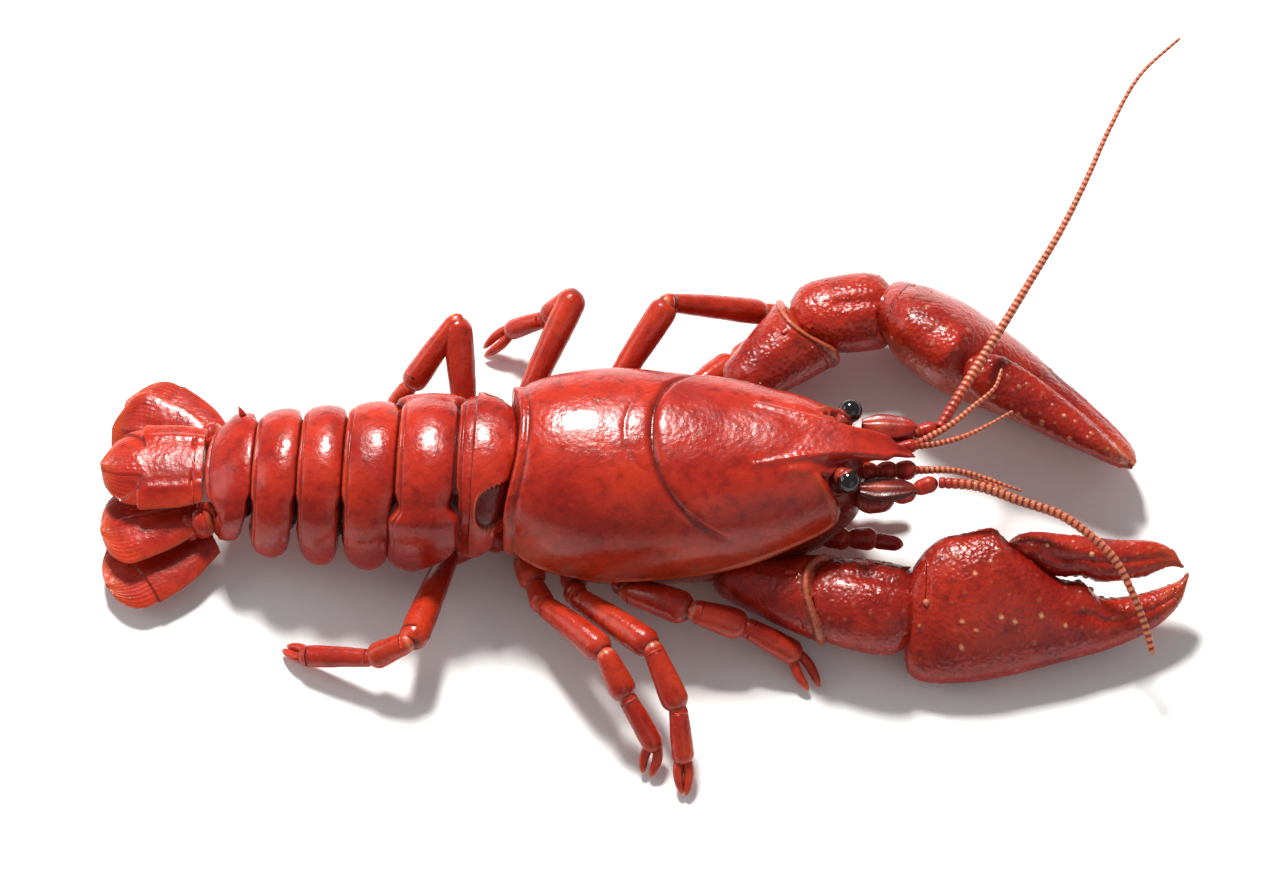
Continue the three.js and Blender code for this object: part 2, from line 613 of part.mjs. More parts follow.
const ANTENNULE_RADIUS = 0.62;
const WHIP_END_RADIUS = 0.2;

function antennule(side, whips) {
  const root = [38, 1.5 * side, 18.6];
  const base = barrel(root, whips[0][0], 1, 0.8, { sides: 6 });
  const feelers = whips.map((points) => whip(points, ANTENNULE_RADIUS, WHIP_END_RADIUS, 8, 4));
  return feelers.reduce((whole, feeler) => whole.add(feeler), base);
}

// The flat scale that lies over the base of each long antenna.
function antennaScale(side) {
  const outline = profile([0, 1.1], [0.3, 2], [0.7, 1.7], [1, 0.3]);
  const curve = new THREE.LineCurve3(vector([37.4, 5.3 * side, 20.9]), vector([45.4, 5.2 * side, 21.5]));
  return sweep(curve, [0, 0.15, 0.4, 0.7, 0.9, 1], 8, (t, angle) => [
    outline(t) * Math.sin(angle),
    0.5 * Math.cos(angle) * (t === 1 ? 0.5 : 1),
  ]);
}

function mouthLimb(side) {
  const joints = [[24, 3.6, 5], [33, 4.4, 5.4], [39.6, 4.3, 5.6], [44, 4.6, 5]]
    .map((joint) => onSide(joint, side));
  const shape = { flatness: 0.8, sides: 7 };
  return barrel(joints[0], joints[1], 1.9, 1.9, shape)
    .add(barrel(between(joints[0], joints[1], 0.93), joints[2], 1.8, 1.75, shape))
    .add(barrel(between(joints[1], joints[2], 0.93), joints[3], 1.4, 1, shape));
}

// ---------------------------------------------------------------- assembly

addTailFan(addAbdomen());

for (const [side, word, legs] of [[1, "left", LEFT_LEGS], [-1, "right", RIGHT_LEGS]]) {
  const arm = ARMS[word];
  const wrist = wristPiece(arm, GAP);
  const antennaStart = ANTENNAE[word][0];
  addAttached(`eye_${word}`, eye(side), EYE_COLOUR, 0.15);
  addAttached(`arm_${word}`, upperArm(arm).subtract(wrist), CLAW_COLOUR);
  addPiece(`wrist_${word}`, wristPiece(arm), CLAW_COLOUR);
  addPiece(`claw_${word}`, claw(arm).subtract(wrist), CLAW_COLOUR);
  addPiece(`claw_finger_${word}`, clawFinger(arm).subtract(claw(arm, GAP)), CLAW_COLOUR);
  addAttached(`antenna_base_${word}`, antennaBase(side, antennaStart), ANTENNA_COLOUR);
  const flagellum = whip(ANTENNAE[word], FLAGELLUM_RADIUS, WHIP_END_RADIUS, 22, 5);
  addPiece(`antenna_${word}`, flagellum, ANTENNA_COLOUR);
  addAttached(`antennule_${word}`, antennule(side, ANTENNULES[word]), ANTENNA_COLOUR);
  const scale = antennaScale(side).subtract(antennaBase(side, antennaStart, GAP));
  addAttached(`antenna_scale_${word}`, scale, ANTENNA_COLOUR);
  addAttached(`mouth_limb_${word}`, mouthLimb(side), LEG_COLOUR);
  legs.forEach((joints, i) => addAttached(`leg_${i + 1}_${word}`, leg(joints), LEG_COLOUR));
}

export default crayfish;
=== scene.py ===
"""A cooked crayfish on a pale table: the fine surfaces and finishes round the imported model.

Sizes are millimetres in the part's own frame: +X to the head, +Y to the animal's left, +Z up. They become
metres when a mesh is made. A share runs from 0 to 1 along a thing. An angle down the side runs from 0 on top
to pi underneath, the same on both sides.
"""

import bpy
import numpy as np
from mathutils import Matrix, Vector, kdtree, noise


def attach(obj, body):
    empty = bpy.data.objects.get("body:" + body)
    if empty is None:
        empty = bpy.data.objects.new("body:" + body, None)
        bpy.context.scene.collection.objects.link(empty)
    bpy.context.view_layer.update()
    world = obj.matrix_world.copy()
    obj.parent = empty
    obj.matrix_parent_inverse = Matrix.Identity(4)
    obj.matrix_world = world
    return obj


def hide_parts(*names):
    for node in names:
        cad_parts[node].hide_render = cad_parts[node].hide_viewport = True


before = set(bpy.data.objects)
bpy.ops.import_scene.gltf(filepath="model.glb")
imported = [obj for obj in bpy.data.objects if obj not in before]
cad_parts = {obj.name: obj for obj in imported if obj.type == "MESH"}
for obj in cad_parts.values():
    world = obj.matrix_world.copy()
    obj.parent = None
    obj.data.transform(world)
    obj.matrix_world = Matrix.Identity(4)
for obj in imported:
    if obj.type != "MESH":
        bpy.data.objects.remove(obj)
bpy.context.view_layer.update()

MM = 0.001
UP = np.array([0.0, 0.0, 1.0])
SIDES = ((1, "left"), (-1, "right"))

# ---------------------------------------------------------------- camera

VIEW_TARGET = np.array([5.4, 9.4, 10.0])
VIEW_DISTANCE = 701
VIEW_AZIMUTH = np.radians(2.5)
VIEW_ELEVATION = np.radians(58)
LENS = 135
CLIP_END = 10_000


def add_camera():
    flat = np.cos(VIEW_ELEVATION)
    back = Vector((np.sin(VIEW_AZIMUTH) * flat, -np.cos(VIEW_AZIMUTH) * flat, np.sin(VIEW_ELEVATION)))
    place = Vector(VIEW_TARGET) + back * VIEW_DISTANCE
    data = bpy.data.cameras.new("camera")
    data.lens = LENS
    data.clip_end = CLIP_END * MM
    camera = bpy.data.objects.new("camera", data)
    camera.matrix_world = Matrix.Translation(place * MM) @ back.to_track_quat("Z", "Y").to_matrix().to_4x4()
    bpy.context.collection.objects.link(camera)
    bpy.context.scene.camera = camera


# ---------------------------------------------------------------- curves


def profile(*pairs):
    """A smooth curve through pairs of a place and a value, level beyond its ends."""
    places, values = np.array(pairs, float).T
    spots = np.arange(len(places))
    before = np.maximum(spots - 1, 0)
    after = np.minimum(spots + 1, len(places) - 1)
    slopes = (values[after] - values[before]) / (places[after] - places[before])

    def at(x):
        x = np.clip(x, places[0], places[-1])
        i = np.clip(np.searchsorted(places, x, side="right") - 1, 0, len(places) - 2)
        run = places[i + 1] - places[i]
        t = (x - places[i]) / run
        bend = (values[i + 1] - values[i]) * (3 - 2 * t) * t * t
        return values[i] + bend + run * t * (1 - t) * (slopes[i] * (1 - t) - slopes[i + 1] * t)

    return at


def squared(value, power):
    """sin or cos with squarer shoulders: power 1 is a circle, smaller powers bulge towards a box."""
    return np.sign(value) * np.abs(value) ** power


def bell(x, width):
    """1 at 0, and falling smoothly to almost 0 at twice the width."""
    return np.exp(-((x / width) ** 2))


def ramp(x, start, end):
    """0 before start and 1 past end, with a smooth rise between."""
    t = np.clip((x - start) / (end - start), 0, 1)
    return t * t * (3 - 2 * t)


def fall(x, start, end):
    """1 before start and 0 past end."""
    return 1 - ramp(x, start, end)


def plateau(x, start, full, end, gone):
    """1 from full to end, and 0 before start and past gone."""
    return ramp(x, start, full) * fall(x, end, gone)


def unit(vectors):
    return vectors / np.linalg.norm(vectors, axis=-1, keepdims=True)


def between(start, end, share):
    """The point at a share of the way from start to end."""
    start = np.array(start, float)
    return start + (np.array(end, float) - start) * share


def on_side(place, side):
    """A place given for the animal's left, or its mirror image on the right."""
    return np.array(place, float) * (1, side, 1)


def shares_with_ends(middle, ends, reach):
    """Shares from 0 to 1, closer together within the reach of both ends."""
    close = reach * (1 - np.cos(np.linspace(0, np.pi / 2, ends)))
    return np.unique(np.concatenate([close, np.linspace(reach, 1 - reach, middle), 1 - close]))


def stretches(*parts):
    """Numbers in a row, each part given by its first one, its last one and how many."""
    return np.concatenate([np.linspace(*part) for part in parts])


class Route:
    """A smooth line through points, read by the share of its length."""

    STEPS = 40

    def __init__(self, points):
        points = np.array(points, float)
        if len(points) == 2:
            points = np.insert(points, 1, points.mean(0), axis=0)
        ends = [2 * points[0] - points[1], 2 * points[-1] - points[-2]]
        points = np.vstack([ends[0], points, ends[1]])
        line = [self._stretch(points[i : i + 4]) for i in range(len(points) - 3)]
        self.points = np.vstack(line + [points[-2:-1]])
        steps = np.linalg.norm(np.diff(self.points, axis=0), axis=1)
        self.length = steps.sum()
        self.shares = np.concatenate([[0], np.cumsum(steps)]) / self.length

    def _stretch(self, corners):
        """Points along the smooth line from the second of four corners to the third."""
        gaps = np.maximum(np.linalg.norm(np.diff(corners, axis=0), axis=1), 1e-6) ** 0.5
        p0, p1, p2, p3 = corners
        leave = (p1 - p0) / gaps[0] - (p2 - p0) / (gaps[0] + gaps[1]) + (p2 - p1) / gaps[1]
        arrive = (p2 - p1) / gaps[1] - (p3 - p1) / (gaps[1] + gaps[2]) + (p3 - p2) / gaps[2]
        leave = leave * gaps[1]
        arrive = arrive * gaps[1]
        t = np.linspace(0, 1, self.STEPS, endpoint=False)[:, None]
        cubic = (2 * p1 - 2 * p2 + leave + arrive) * t**3
        square = (3 * p2 - 3 * p1 - 2 * leave - arrive) * t**2
        return p1 + leave * t + square + cubic

    def at(self, share):
        return np.stack([np.interp(share, self.shares, self.points[:, k]) for k in range(3)], -1)

    def frame(self, share, roll=0.0):
        """The point, and the directions to its right and above it."""
        step = 0.5 / self.length
        forward = unit(self.at(np.clip(share + step, 0, 1)) - self.at(np.clip(share - step, 0, 1)))
        right = unit(np.cross(forward, UP))
        turned = right * np.cos(roll) + np.cross(forward, right) * np.sin(roll)
        return self.at(share), turned, np.cross(turned, forward)


# ---------------------------------------------------------------- forms


def angles(count):
    """Even angles round a ring, as one row."""
    return np.linspace(0, 2 * np.pi, count, endpoint=False)[None, :]


def angle_down(angle):
    """How far each angle lies from straight up, on either side."""
    return np.minimum(angle, 2 * np.pi - angle)


def sweep(route, shares, count, section, roll=0.0):
    """Rings along a route: section(share, angle) gives how far each point lies to the right and above."""
    shares = np.asarray(shares, float)
    middle, right, above = route.frame(shares, roll)
    across, height = section(shares[:, None], angles(count))
    across = np.broadcast_to(across, (len(shares), count))[..., None]
    height = np.broadcast_to(height, (len(shares), count))[..., None]
    return middle[:, None] + right[:, None] * across + above[:, None] * height


class Form:
    """A closed skin: points, faces, and for each point how pale, how dark and how warm its colour is. The
    dark is mostly painted shade; the pale is partly the shell's own pale colour and partly painted
    highlight.
    """

    TINTS = ("pale", "dark", "warm")

    def __init__(self, points, faces):
        self.points = points
        self.faces = faces
        for tint in self.TINTS:
            setattr(self, tint, np.zeros(len(points)))

    @classmethod
    def over(cls, rings, **tints):
        """A skin over rings of points, closed by a point in the middle of each end."""
        count, sides, _ = rings.shape
        points = np.vstack([rings.reshape(-1, 3), rings[0].mean(0), rings[-1].mean(0)])
        here = np.arange(sides)
        there = (here + 1) % sides
        rows = np.arange(count - 1)[:, None] * sides
        quads = np.stack([rows + here, rows + there, rows + sides + there, rows + sides + here], -1)
        last = (count - 1) * sides
        start_cap = np.full(sides, count * sides)
        caps = [
            np.stack([start_cap, there, here, here], -1),
            np.stack([start_cap + 1, last + here, last + there, last + there], -1),
        ]
        form = cls(points, np.vstack([quads.reshape(-1, 4)] + caps))
        form.face_out()
        for tint, value in tints.items():
            grid = np.broadcast_to(value, (count, sides))
            setattr(form, tint, np.concatenate([grid.ravel(), [grid[0].mean(), grid[-1].mean()]]))
        return form

    def corners(self):
        return [self.points[self.faces[:, k]] for k in range(4)]

    def face_out(self):
        a, b, c, d = self.corners()
        volume = np.einsum("ij,ij->", a, np.cross(b, c)) + np.einsum("ij,ij->", a, np.cross(c, d))
        if volume < 0:
            self.faces = self.faces[:, ::-1].copy()

    def normals(self):
        a, b, c, d = self.corners()
        faces = np.cross(c - a, d - b)
        total = np.zeros_like(self.points)
        for k in range(4):
            np.add.at(total, self.faces[:, k], faces)
        return total / np.maximum(np.linalg.norm(total, axis=1, keepdims=True), 1e-12)

    def push(self, amount):
        """Moves each point out by its amount."""
        self.points = self.points + self.normals() * np.asarray(amount)[:, None]
        return self

    def fuzz(self, scale, amount, seed):
        """Uneven, as real shell is: soft noise with lumps of about the scale."""
        shift = Vector((seed * 7.3, seed * 3.1, seed * 5.7))
        values = [noise.noise(Vector(point) / scale + shift) for point in self.points]
        return self.push(np.array(values) * amount)

    def tint(self, name, amount):
        setattr(self, name, np.clip(np.maximum(getattr(self, name), amount), 0, 1))
        return self

    def stand_on_floor(self):
        self.points[:, 2] = np.maximum(self.points[:, 2], 0)
        return self


def swept(route, shares, count, section, roll=0.0, **tints):
    """A closed form over the rings of a sweep."""
    return Form.over(sweep(route, shares, count, section, roll), **tints)


def tube(route, shares, count, radii, **tints):
    """A round form along a route, with a radius for each share."""

    def section(t, angle):
        return radii[:, None] * np.sin(angle), radii[:, None] * np.cos(angle)

    return swept(route, shares, count, section, **tints)


POLE_GAP = 0.02


def ball(centre, radius, stretch=(1, 1, 1), count=24, **tints):
    """A ball, or an egg where it is stretched."""
    down = np.linspace(POLE_GAP, np.pi - POLE_GAP, count // 2)[:, None]
    around = angles(count)
    upright = np.cos(down) + 0 * around
    shape = np.stack([np.sin(down) * np.cos(around), np.sin(down) * np.sin(around), upright], -1)
    return Form.over(np.array(centre) + shape * radius * np.array(stretch), **tints)


def scatter(form, allowed, count, spacing, rng):
    """Places on the form at least the spacing apart, among its allowed points."""
    chosen = np.zeros((0, 3))
    for index in rng.permutation(np.flatnonzero(allowed)):
        point = form.points[index]
        if np.all(np.sum((chosen - point) ** 2, axis=1) > spacing**2):
            chosen = np.vstack([chosen, point])
        if len(chosen) == count:
            break
    return chosen


def raise_knobs(form, centres, sizes, share, pale, rng):
    """Round knobs on the form, with radii between the two sizes and as high as the share of their radius."""
    radii = rng.uniform(*sizes, len(centres))
    tree = kdtree.KDTree(len(centres))
    for index, centre in enumerate(centres):
        tree.insert(centre, index)
    tree.balance()
    lift = np.zeros(len(form.points))
    glow = np.zeros(len(form.points))
    reach = max(radii)
    for i, point in enumerate(form.points):
        _, index, distance = tree.find(point)
        if distance < reach and distance < radii[index]:
            dome = np.cos(np.pi / 2 * distance / radii[index])
            lift[i] = radii[index] * share * dome
            glow[i] = pale * min(1, dome * 1.5)
    return form.push(lift).tint("pale", glow)


# ---------------------------------------------------------------- meshes


def mesh_of(name, forms):
    """One mesh of all the forms, with their tints as attributes of its points."""
    starts = np.cumsum([0] + [len(form.points) for form in forms])
    points = np.vstack([form.points for form in forms]) * MM
    faces = np.vstack([form.faces + start for form, start in zip(forms, starts)]).tolist()
    faces = [list(dict.fromkeys(face)) for face in faces]
    mesh = bpy.data.meshes.new(name)
    mesh.from_pydata(points.tolist(), [], faces)
    for tint in Form.TINTS:
        values = np.concatenate([getattr(form, tint) for form in forms])
        layer = mesh.attributes.new(tint, "FLOAT", "POINT")
        layer.data.foreach_set("value", values.astype(np.float32))
    mesh.polygons.foreach_set("use_smooth", np.ones(len(faces), bool))
    mesh.update()
    return mesh


def add_mesh(name, forms):
    item = bpy.data.objects.new(name, mesh_of(name, forms))
    bpy.context.collection.objects.link(item)
    return item


def add_piece(name, forms, slot, node):
    """A piece of the crayfish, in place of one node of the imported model."""
    piece = add_mesh(name, forms)
    piece.data.materials.append(FINISHES[slot])
    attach(piece, "root")
    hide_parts(node)


def add_modifier(piece, kind, **settings):
    modifier = piece.modifiers.new(kind.lower(), kind)
    for name, value in settings.items():
        setattr(modifier, name, value)


def melt(forms, cuts, voxel, rounds):
    """One even skin over joined forms with the cuts taken out, its seams softened in some rounds."""
    piece = add_mesh("melt", forms)
    cutters = [add_mesh("cutter", [cut]) for cut in cuts]
    add_modifier(piece, "REMESH", mode="VOXEL", voxel_size=voxel * MM)
    for cutter in cutters:
        add_modifier(piece, "BOOLEAN", operation="DIFFERENCE", object=cutter, solver="EXACT")
    add_modifier(piece, "REMESH", mode="VOXEL", voxel_size=voxel * MM)
    add_modifier(piece, "SMOOTH", factor=0.5, iterations=rounds)
    seen = piece.evaluated_get(bpy.context.evaluated_depsgraph_get())
    mesh = seen.to_mesh()
    points = np.zeros(len(mesh.vertices) * 3)
    mesh.vertices.foreach_get("co", points)
    faces = np.array([(list(face.vertices) + [face.vertices[-1]])[:4] for face in mesh.polygons])
    seen.to_mesh_clear()
    for item in [piece] + cutters:
        bpy.data.objects.remove(item)
    return Form(points.reshape(-1, 3) / MM, faces)


# ---------------------------------------------------------------- materials


class Look:
    """Builds one procedural material, node by node."""

    def __init__(self, name):
        self.material = bpy.data.materials.new(name)
        self.material.use_nodes = True
        self.tree = self.material.node_tree
        self.shader = self.tree.nodes["Principled BSDF"]
        self.place = self.tree.nodes.new("ShaderNodeTexCoord").outputs["Object"]

    def link(self, source, socket):
        self.tree.links.new(source, socket)

    def node(self, kind, **settings):
        node = self.tree.nodes.new(kind)
        for name, value in settings.items():
            setattr(node, name, value)
        return node

    def attribute(self, name):
        return self.node("ShaderNodeAttribute", attribute_name=name).outputs["Fac"]

    def pattern(self, kind, size_mm, **settings):
        """A texture in the object's own coordinates, with lumps of about the size."""
        node = self.node(kind, **settings)
        self.link(self.place, node.inputs["Vector"])
        node.inputs["Scale"].default_value = 1 / (size_mm * MM)
        return node

    def noise(self, size_mm, detail=3.0):
        node = self.pattern("ShaderNodeTexNoise", size_mm)
        node.inputs["Detail"].default_value = detail
        return node.outputs["Fac"]

    def cells(self, size_mm, feature="SMOOTH_F1"):
        return self.pattern("ShaderNodeTexVoronoi", size_mm, feature=feature).outputs["Distance"]

    def span(self, value, low, high, to_low=0.0, to_high=1.0):
        """The value moved from the range low to high into another range, and held inside it."""
        node = self.node("ShaderNodeMapRange", clamp=True)
        self.link(value, node.inputs["Value"])
        limits = {"From Min": low, "From Max": high, "To Min": to_low, "To Max": to_high}
        for name, limit in limits.items():
            node.inputs[name].default_value = limit
        return node.outputs["Result"]

    def blend(self, share, first, second):
        """The first colour, turning into the second as the share rises to 1."""
        node = self.node("ShaderNodeMix", data_type="RGBA")
        self.link(share, node.inputs["Factor"])
        colour_sockets = (node.inputs[6], node.inputs[7])
        for colour, socket in zip((first, second), colour_sockets):
            if isinstance(colour, tuple):
                socket.default_value = (*colour, 1)
            else:
                self.link(colour, socket)
        return node.outputs[2]

    def bump(self, height, depth_mm, below=None):
        node = self.node("ShaderNodeBump")
        node.inputs["Strength"].default_value = 1
        node.inputs["Distance"].default_value = depth_mm * MM
        self.link(height, node.inputs["Height"])
        if below is not None:
            self.link(below, node.inputs["Normal"])
        return node.outputs["Normal"]

    def set(self, **values):
        for name, value in values.items():
            self.shader.inputs[name.replace("_", " ")].default_value = value


def shade(colour, share):
    """The colour made darker or brighter by the share."""
    return tuple(min(1.0, share * value) for value in colour)


def shell_look(name, deep, bright, grain_mm, grain_depth_mm, roughness):
    """Cooked shell: deep red mottled with a brighter one, freckled, grained, and tinted where painted:
    warmer and paler in its own colours, paler with painted highlight, and darker with painted shade.
    """
    look = Look(name)
    # The size of each pattern, then the values between which it fades in, then how far it does.
    mottle = look.span(look.noise(8.0), 0.36, 0.66)
    stains = look.span(look.noise(1.7, 4.0), 0.5, 0.72, 0.0, 0.6)
    freckles = look.span(look.noise(0.55, 2.0), 0.6, 0.72, 0.0, 0.2)
    colour = look.blend(mottle, deep, bright)
    colour = look.blend(stains, colour, shade(deep, 0.5))
    colour = look.blend(freckles, colour, shade(bright, 1.5))
    # The dark tint mixes in painted shade; the pale tint mixes in the shell's own cream and painted
    # highlight.
    for tint, painted in (("warm", WARM), ("pale", CREAM), ("dark", SHADOW)):
        colour = look.blend(look.attribute(tint), colour, painted)
    look.link(colour, look.shader.inputs["Base Color"])
    look.link(look.span(look.noise(3.5), 0.3, 0.7, *roughness), look.shader.inputs["Roughness"])
    grain = look.bump(look.span(look.cells(grain_mm), 0.0, 0.6, 1.0, 0.0), grain_depth_mm)
    waves = look.bump(look.noise(2.4, 2.0), 0.05, grain)
    pores = look.bump(look.noise(0.3, 2.0), 0.03, waves)
    look.link(pores, look.shader.inputs["Normal"])
    look.set(
        Subsurface_Weight=0.05,
        Subsurface_Radius=(1.0, 0.3, 0.15),
        Subsurface_Scale=0.001,
        Coat_Weight=0.14,
        Coat_Roughness=0.06,
        Specular_IOR_Level=0.36,
        IOR=1.45,
    )
    return look.material


EYE_BLACK = (0.004, 0.003, 0.003)
EYE_BROWN = (0.012, 0.008, 0.006)
EYE_LID_RED = (0.3, 0.03, 0.015)


def eye_look():
    """A near-black globe of fine facets, with a duller red lid where it is painted pale."""
    look = Look("eye")
    facets = look.span(look.cells(0.16, "F1"), 0.0, 0.5)
    globe = look.blend(look.span(look.noise(0.6), 0.35, 0.7), EYE_BLACK, EYE_BROWN)
    colour = look.blend(look.attribute("pale"), globe, EYE_LID_RED)
    look.link(colour, look.shader.inputs["Base Color"])
    look.link(look.span(look.attribute("pale"), 0, 1, 0.12, 0.35), look.shader.inputs["Roughness"])
    look.link(look.bump(facets, 0.002), look.shader.inputs["Normal"])
    look.set(Coat_Weight=0.3, Coat_Roughness=0.03)
    return look.material


RED = (0.29, 0.01, 0.005)
BRIGHT_RED = (0.45, 0.025, 0.008)
CLAW_RED = (0.23, 0.008, 0.004)
CLAW_BRIGHT = (0.39, 0.021, 0.007)
LEG_RED = (0.34, 0.015, 0.006)
LEG_BRIGHT = (0.49, 0.038, 0.011)
# WARM is the shell's own orange. CREAM is the shell's own pale colour, and a painted highlight where a pale
# tint marks one. SHADOW is painted shade.
WARM = (0.62, 0.1, 0.02)
CREAM = (0.8, 0.39, 0.18)
SHADOW = (0.045, 0.004, 0.003)

# The material of each colour slot.
FINISHES = {
    "shell": shell_look("shell", RED, BRIGHT_RED, 0.75, 0.035, (0.2, 0.36)),
    "claw": shell_look("claw_shell", CLAW_RED, CLAW_BRIGHT, 0.62, 0.1, (0.22, 0.4)),
    "leg": shell_look("leg_shell", LEG_RED, LEG_BRIGHT, 0.55, 0.03, (0.2, 0.34)),
    "antenna": shell_look("whip_shell", RED, BRIGHT_RED, 0.5, 0.02, (0.26, 0.42)),
    "eye": eye_look(),
}

# ---------------------------------------------------------------- carapace and head

CARAPACE_REAR = -12.3
HEAD_FRONT = 38.8
CARAPACE_HALF_WIDTH = 15.6
CARAPACE_HEIGHT = 27.2
GROOVE_TOP = 7.5
GROOVE_SWEEP = 10.5
GROOVE_SIDE_ANGLE = 1.19
GROOVE_DEPTH = 0.6
ARC_REACH = 3.9
ARC_ANGLE = 0.45
REAR_BEAD = CARAPACE_REAR + 0.5
REAR_SEAM = CARAPACE_REAR + 1.4
REAR_SLANT = 1
REAR_SLANT_ANGLE = 1.3
EYE_CENTRE = (35.7, 5.95, 24)
EYE_RADIUS = 1.7
ORBIT_RADIUS = 2.5
ORBIT_RIM_RADIUS = 2.85
ROSTRUM_LINE = [(22, 0, 25.4), (30, 0, 25.4), (36, 0, 24.7), (41, 0, 23.5), (45.9, 0, 21.7)]
ROSTRUM_SHOULDER = 0.79
UPPER_POWER = 0.92
LOWER_POWER = 0.8

half_width_at = profile(
    (CARAPACE_REAR, 11.8), (-7, 14.2), (0, CARAPACE_HALF_WIDTH), (9, 15.4), (17, 14.4),
    (25, 12.6), (30, 11), (35, 8.4), (37.5, 6.4), (HEAD_FRONT, 3.6),
)
top_at = profile(
    (CARAPACE_REAR, 25.2), (-7, 26.6), (0, CARAPACE_HEIGHT), (17, 27.1), (29, 26.5),
    (34, 24.6), (37, 21.5), (HEAD_FRONT, 18.4),
)
middle_at = profile((CARAPACE_REAR, 14), (22, 14), (30, 15), (HEAD_FRONT, 16))
underside_at = profile((CARAPACE_REAR, 4), (-8, -0.6), (20, -0.6), (28, 2.5), (34, 7), (HEAD_FRONT, 13.6))

# How far forward the shell's free edge lies at each angle down the side: round the eye, down the front
# and back along the bottom.
shell_edge_at = profile(
    (0.48, 31.5), (0.85, 33.4), (1.05, 34.3), (1.3, 34.5), (1.45, 33.8), (1.52, 31.4), (1.6, 26),
    (1.68, 18), (1.75, 8), (1.8, -4), (1.86, -16),
)


def rear_slant(down):
    """How far forward of its place the joint between carapace and abdomen lies at each angle."""
    return REAR_SLANT * np.cos(np.pi * np.minimum(down / REAR_SLANT_ANGLE, 1))


def groove_bow(place, down):
    """How far forward of its place each ring bows down the side, most of all at the groove."""
    reach = np.where(place < GROOVE_TOP, GROOVE_TOP - CARAPACE_REAR, HEAD_FRONT - GROOVE_TOP)
    share = np.maximum(0, 1 - np.abs(place - GROOVE_TOP) / reach)
    sweep_share = np.minimum(down / GROOVE_SIDE_ANGLE, 1.1) ** 2.1
    return GROOVE_SWEEP * sweep_share * np.sin(np.pi / 2 * share) ** 2


def groove_share(down):
    """1 over the back and 0 down the side, past the end of the groove."""
    return fall(down, 1.08, 1.3)


def faint_arc_at(down):
    """The place of the faint arc on the back, which bulges rearward from the top of the groove."""
    return GROOVE_TOP - ARC_REACH * np.sqrt(np.maximum(0, 1 - (down / ARC_ANGLE) ** 2))


def carapace_relief(place, down):
    """How far each part of the carapace stands out, by its place along the back and angle down the side."""
    upper = groove_share(down)
    groove = -GROOVE_DEPTH * bell(place - GROOVE_TOP, 0.45) * upper
    shoulder = 0.3 * plateau(place, GROOVE_TOP, GROOVE_TOP + 1.8, 12, 22) * upper
    arc = -0.2 * bell(place - faint_arc_at(down), 0.28) * fall(down, 0.4, ARC_ANGLE)
    bead = 0.22 * bell(place - REAR_BEAD, 0.4)
    seam = -0.3 * bell(place - REAR_SEAM, 0.3)
    ridge = 0.35 * bell(down - 0.44, 0.06) * plateau(place, 25, 28, 29, 31)
    return groove + shoulder + arc + bead + seam + ridge


def carapace_rings():
    """Rings round the whole body shell, bowed forward at the sides as its groove is."""
    place = np.linspace(CARAPACE_REAR, HEAD_FRONT, 330)[:, None]
    angle = angles(360)
    down = angle_down(angle)
    near_rear = np.maximum(0, 1 - (place - CARAPACE_REAR) / 12) ** 2
    x = place + groove_bow(place, down) + rear_slant(down) * near_rear
    relief = carapace_relief(place, down)
    upper = np.cos(angle) >= 0
    power = np.where(upper, UPPER_POWER, LOWER_POWER)
    edge = np.where(upper, top_at(x) + relief, underside_at(x) - relief)
    z = middle_at(x) + np.abs(edge - middle_at(x)) * squared(np.cos(angle), power)
    y = (half_width_at(x) + relief) * squared(np.sin(angle), power)
    return np.stack([x, y, np.maximum(z, 0)], -1)


def rostrum_rings():
    """The beak: flat-topped between two raised rails, undercut below, with a shoulder before its point."""
    half_width = profile(
        (0, 6), (0.35, 3.7), (0.56, 2.6), (ROSTRUM_SHOULDER, 1.98), (0.83, 1.15), (0.92, 0.65), (1, 0.1),
    )
    half_height = profile((0, 1.2), (0.35, 1.4), (0.6, 1.4), (0.8, 0.9), (1, 0.12))

    def section(t, angle):
        top = np.cos(angle) > 0
        undercut = np.where(top, 1, 1 - 0.45 * np.abs(np.cos(angle)))
        across = half_width(t) * squared(np.sin(angle), 0.8) * undercut
        rail = 0.4 * bell(np.abs(across) - half_width(t) * 0.86, 0.35) * top * fall(t, 0.86, 0.96)
        channel = -0.35 * bell(across, half_width(t) * 0.5) * top
        return across, half_height(t) * squared(np.cos(angle), 0.8) + rail + channel

    return sweep(Route(ROSTRUM_LINE), np.linspace(0, 1, 140), 80, section)


def carapace_angle(points):
    """The angle down the side at which each point of the carapace lies."""
    x, y, z = points.T
    upper = z >= middle_at(x)
    power = np.where(upper, UPPER_POWER, LOWER_POWER)
    edge = np.where(upper, top_at(x), underside_at(x))
    reach = np.maximum(np.abs(edge - middle_at(x)), 0.5)
    sine = (np.abs(y) / half_width_at(x)) ** (1 / power)
    cosine = squared((z - middle_at(x)) / reach, 1 / power)
    return np.arctan2(sine, cosine)


HALVINGS = 24


def carapace_place(x, down):
    """The place along the back whose ring passes through x at the angle down the side."""
    low = np.full_like(x, CARAPACE_REAR)
    high = np.full_like(x, HEAD_FRONT)
    for _ in range(HALVINGS):
        middle = (low + high) / 2
        ahead = middle + groove_bow(middle, down) > x
        high = np.where(ahead, middle, high)
        low = np.where(ahead, low, middle)
    return low


def past_shell_edge(x, down):
    """How far each point lies outside the shell's free edge, negative inside it."""
    slope = (shell_edge_at(down + 0.01) - shell_edge_at(down - 0.01)) / 0.02
    return (x - shell_edge_at(down)) / np.hypot(1, slope / half_width_at(x))


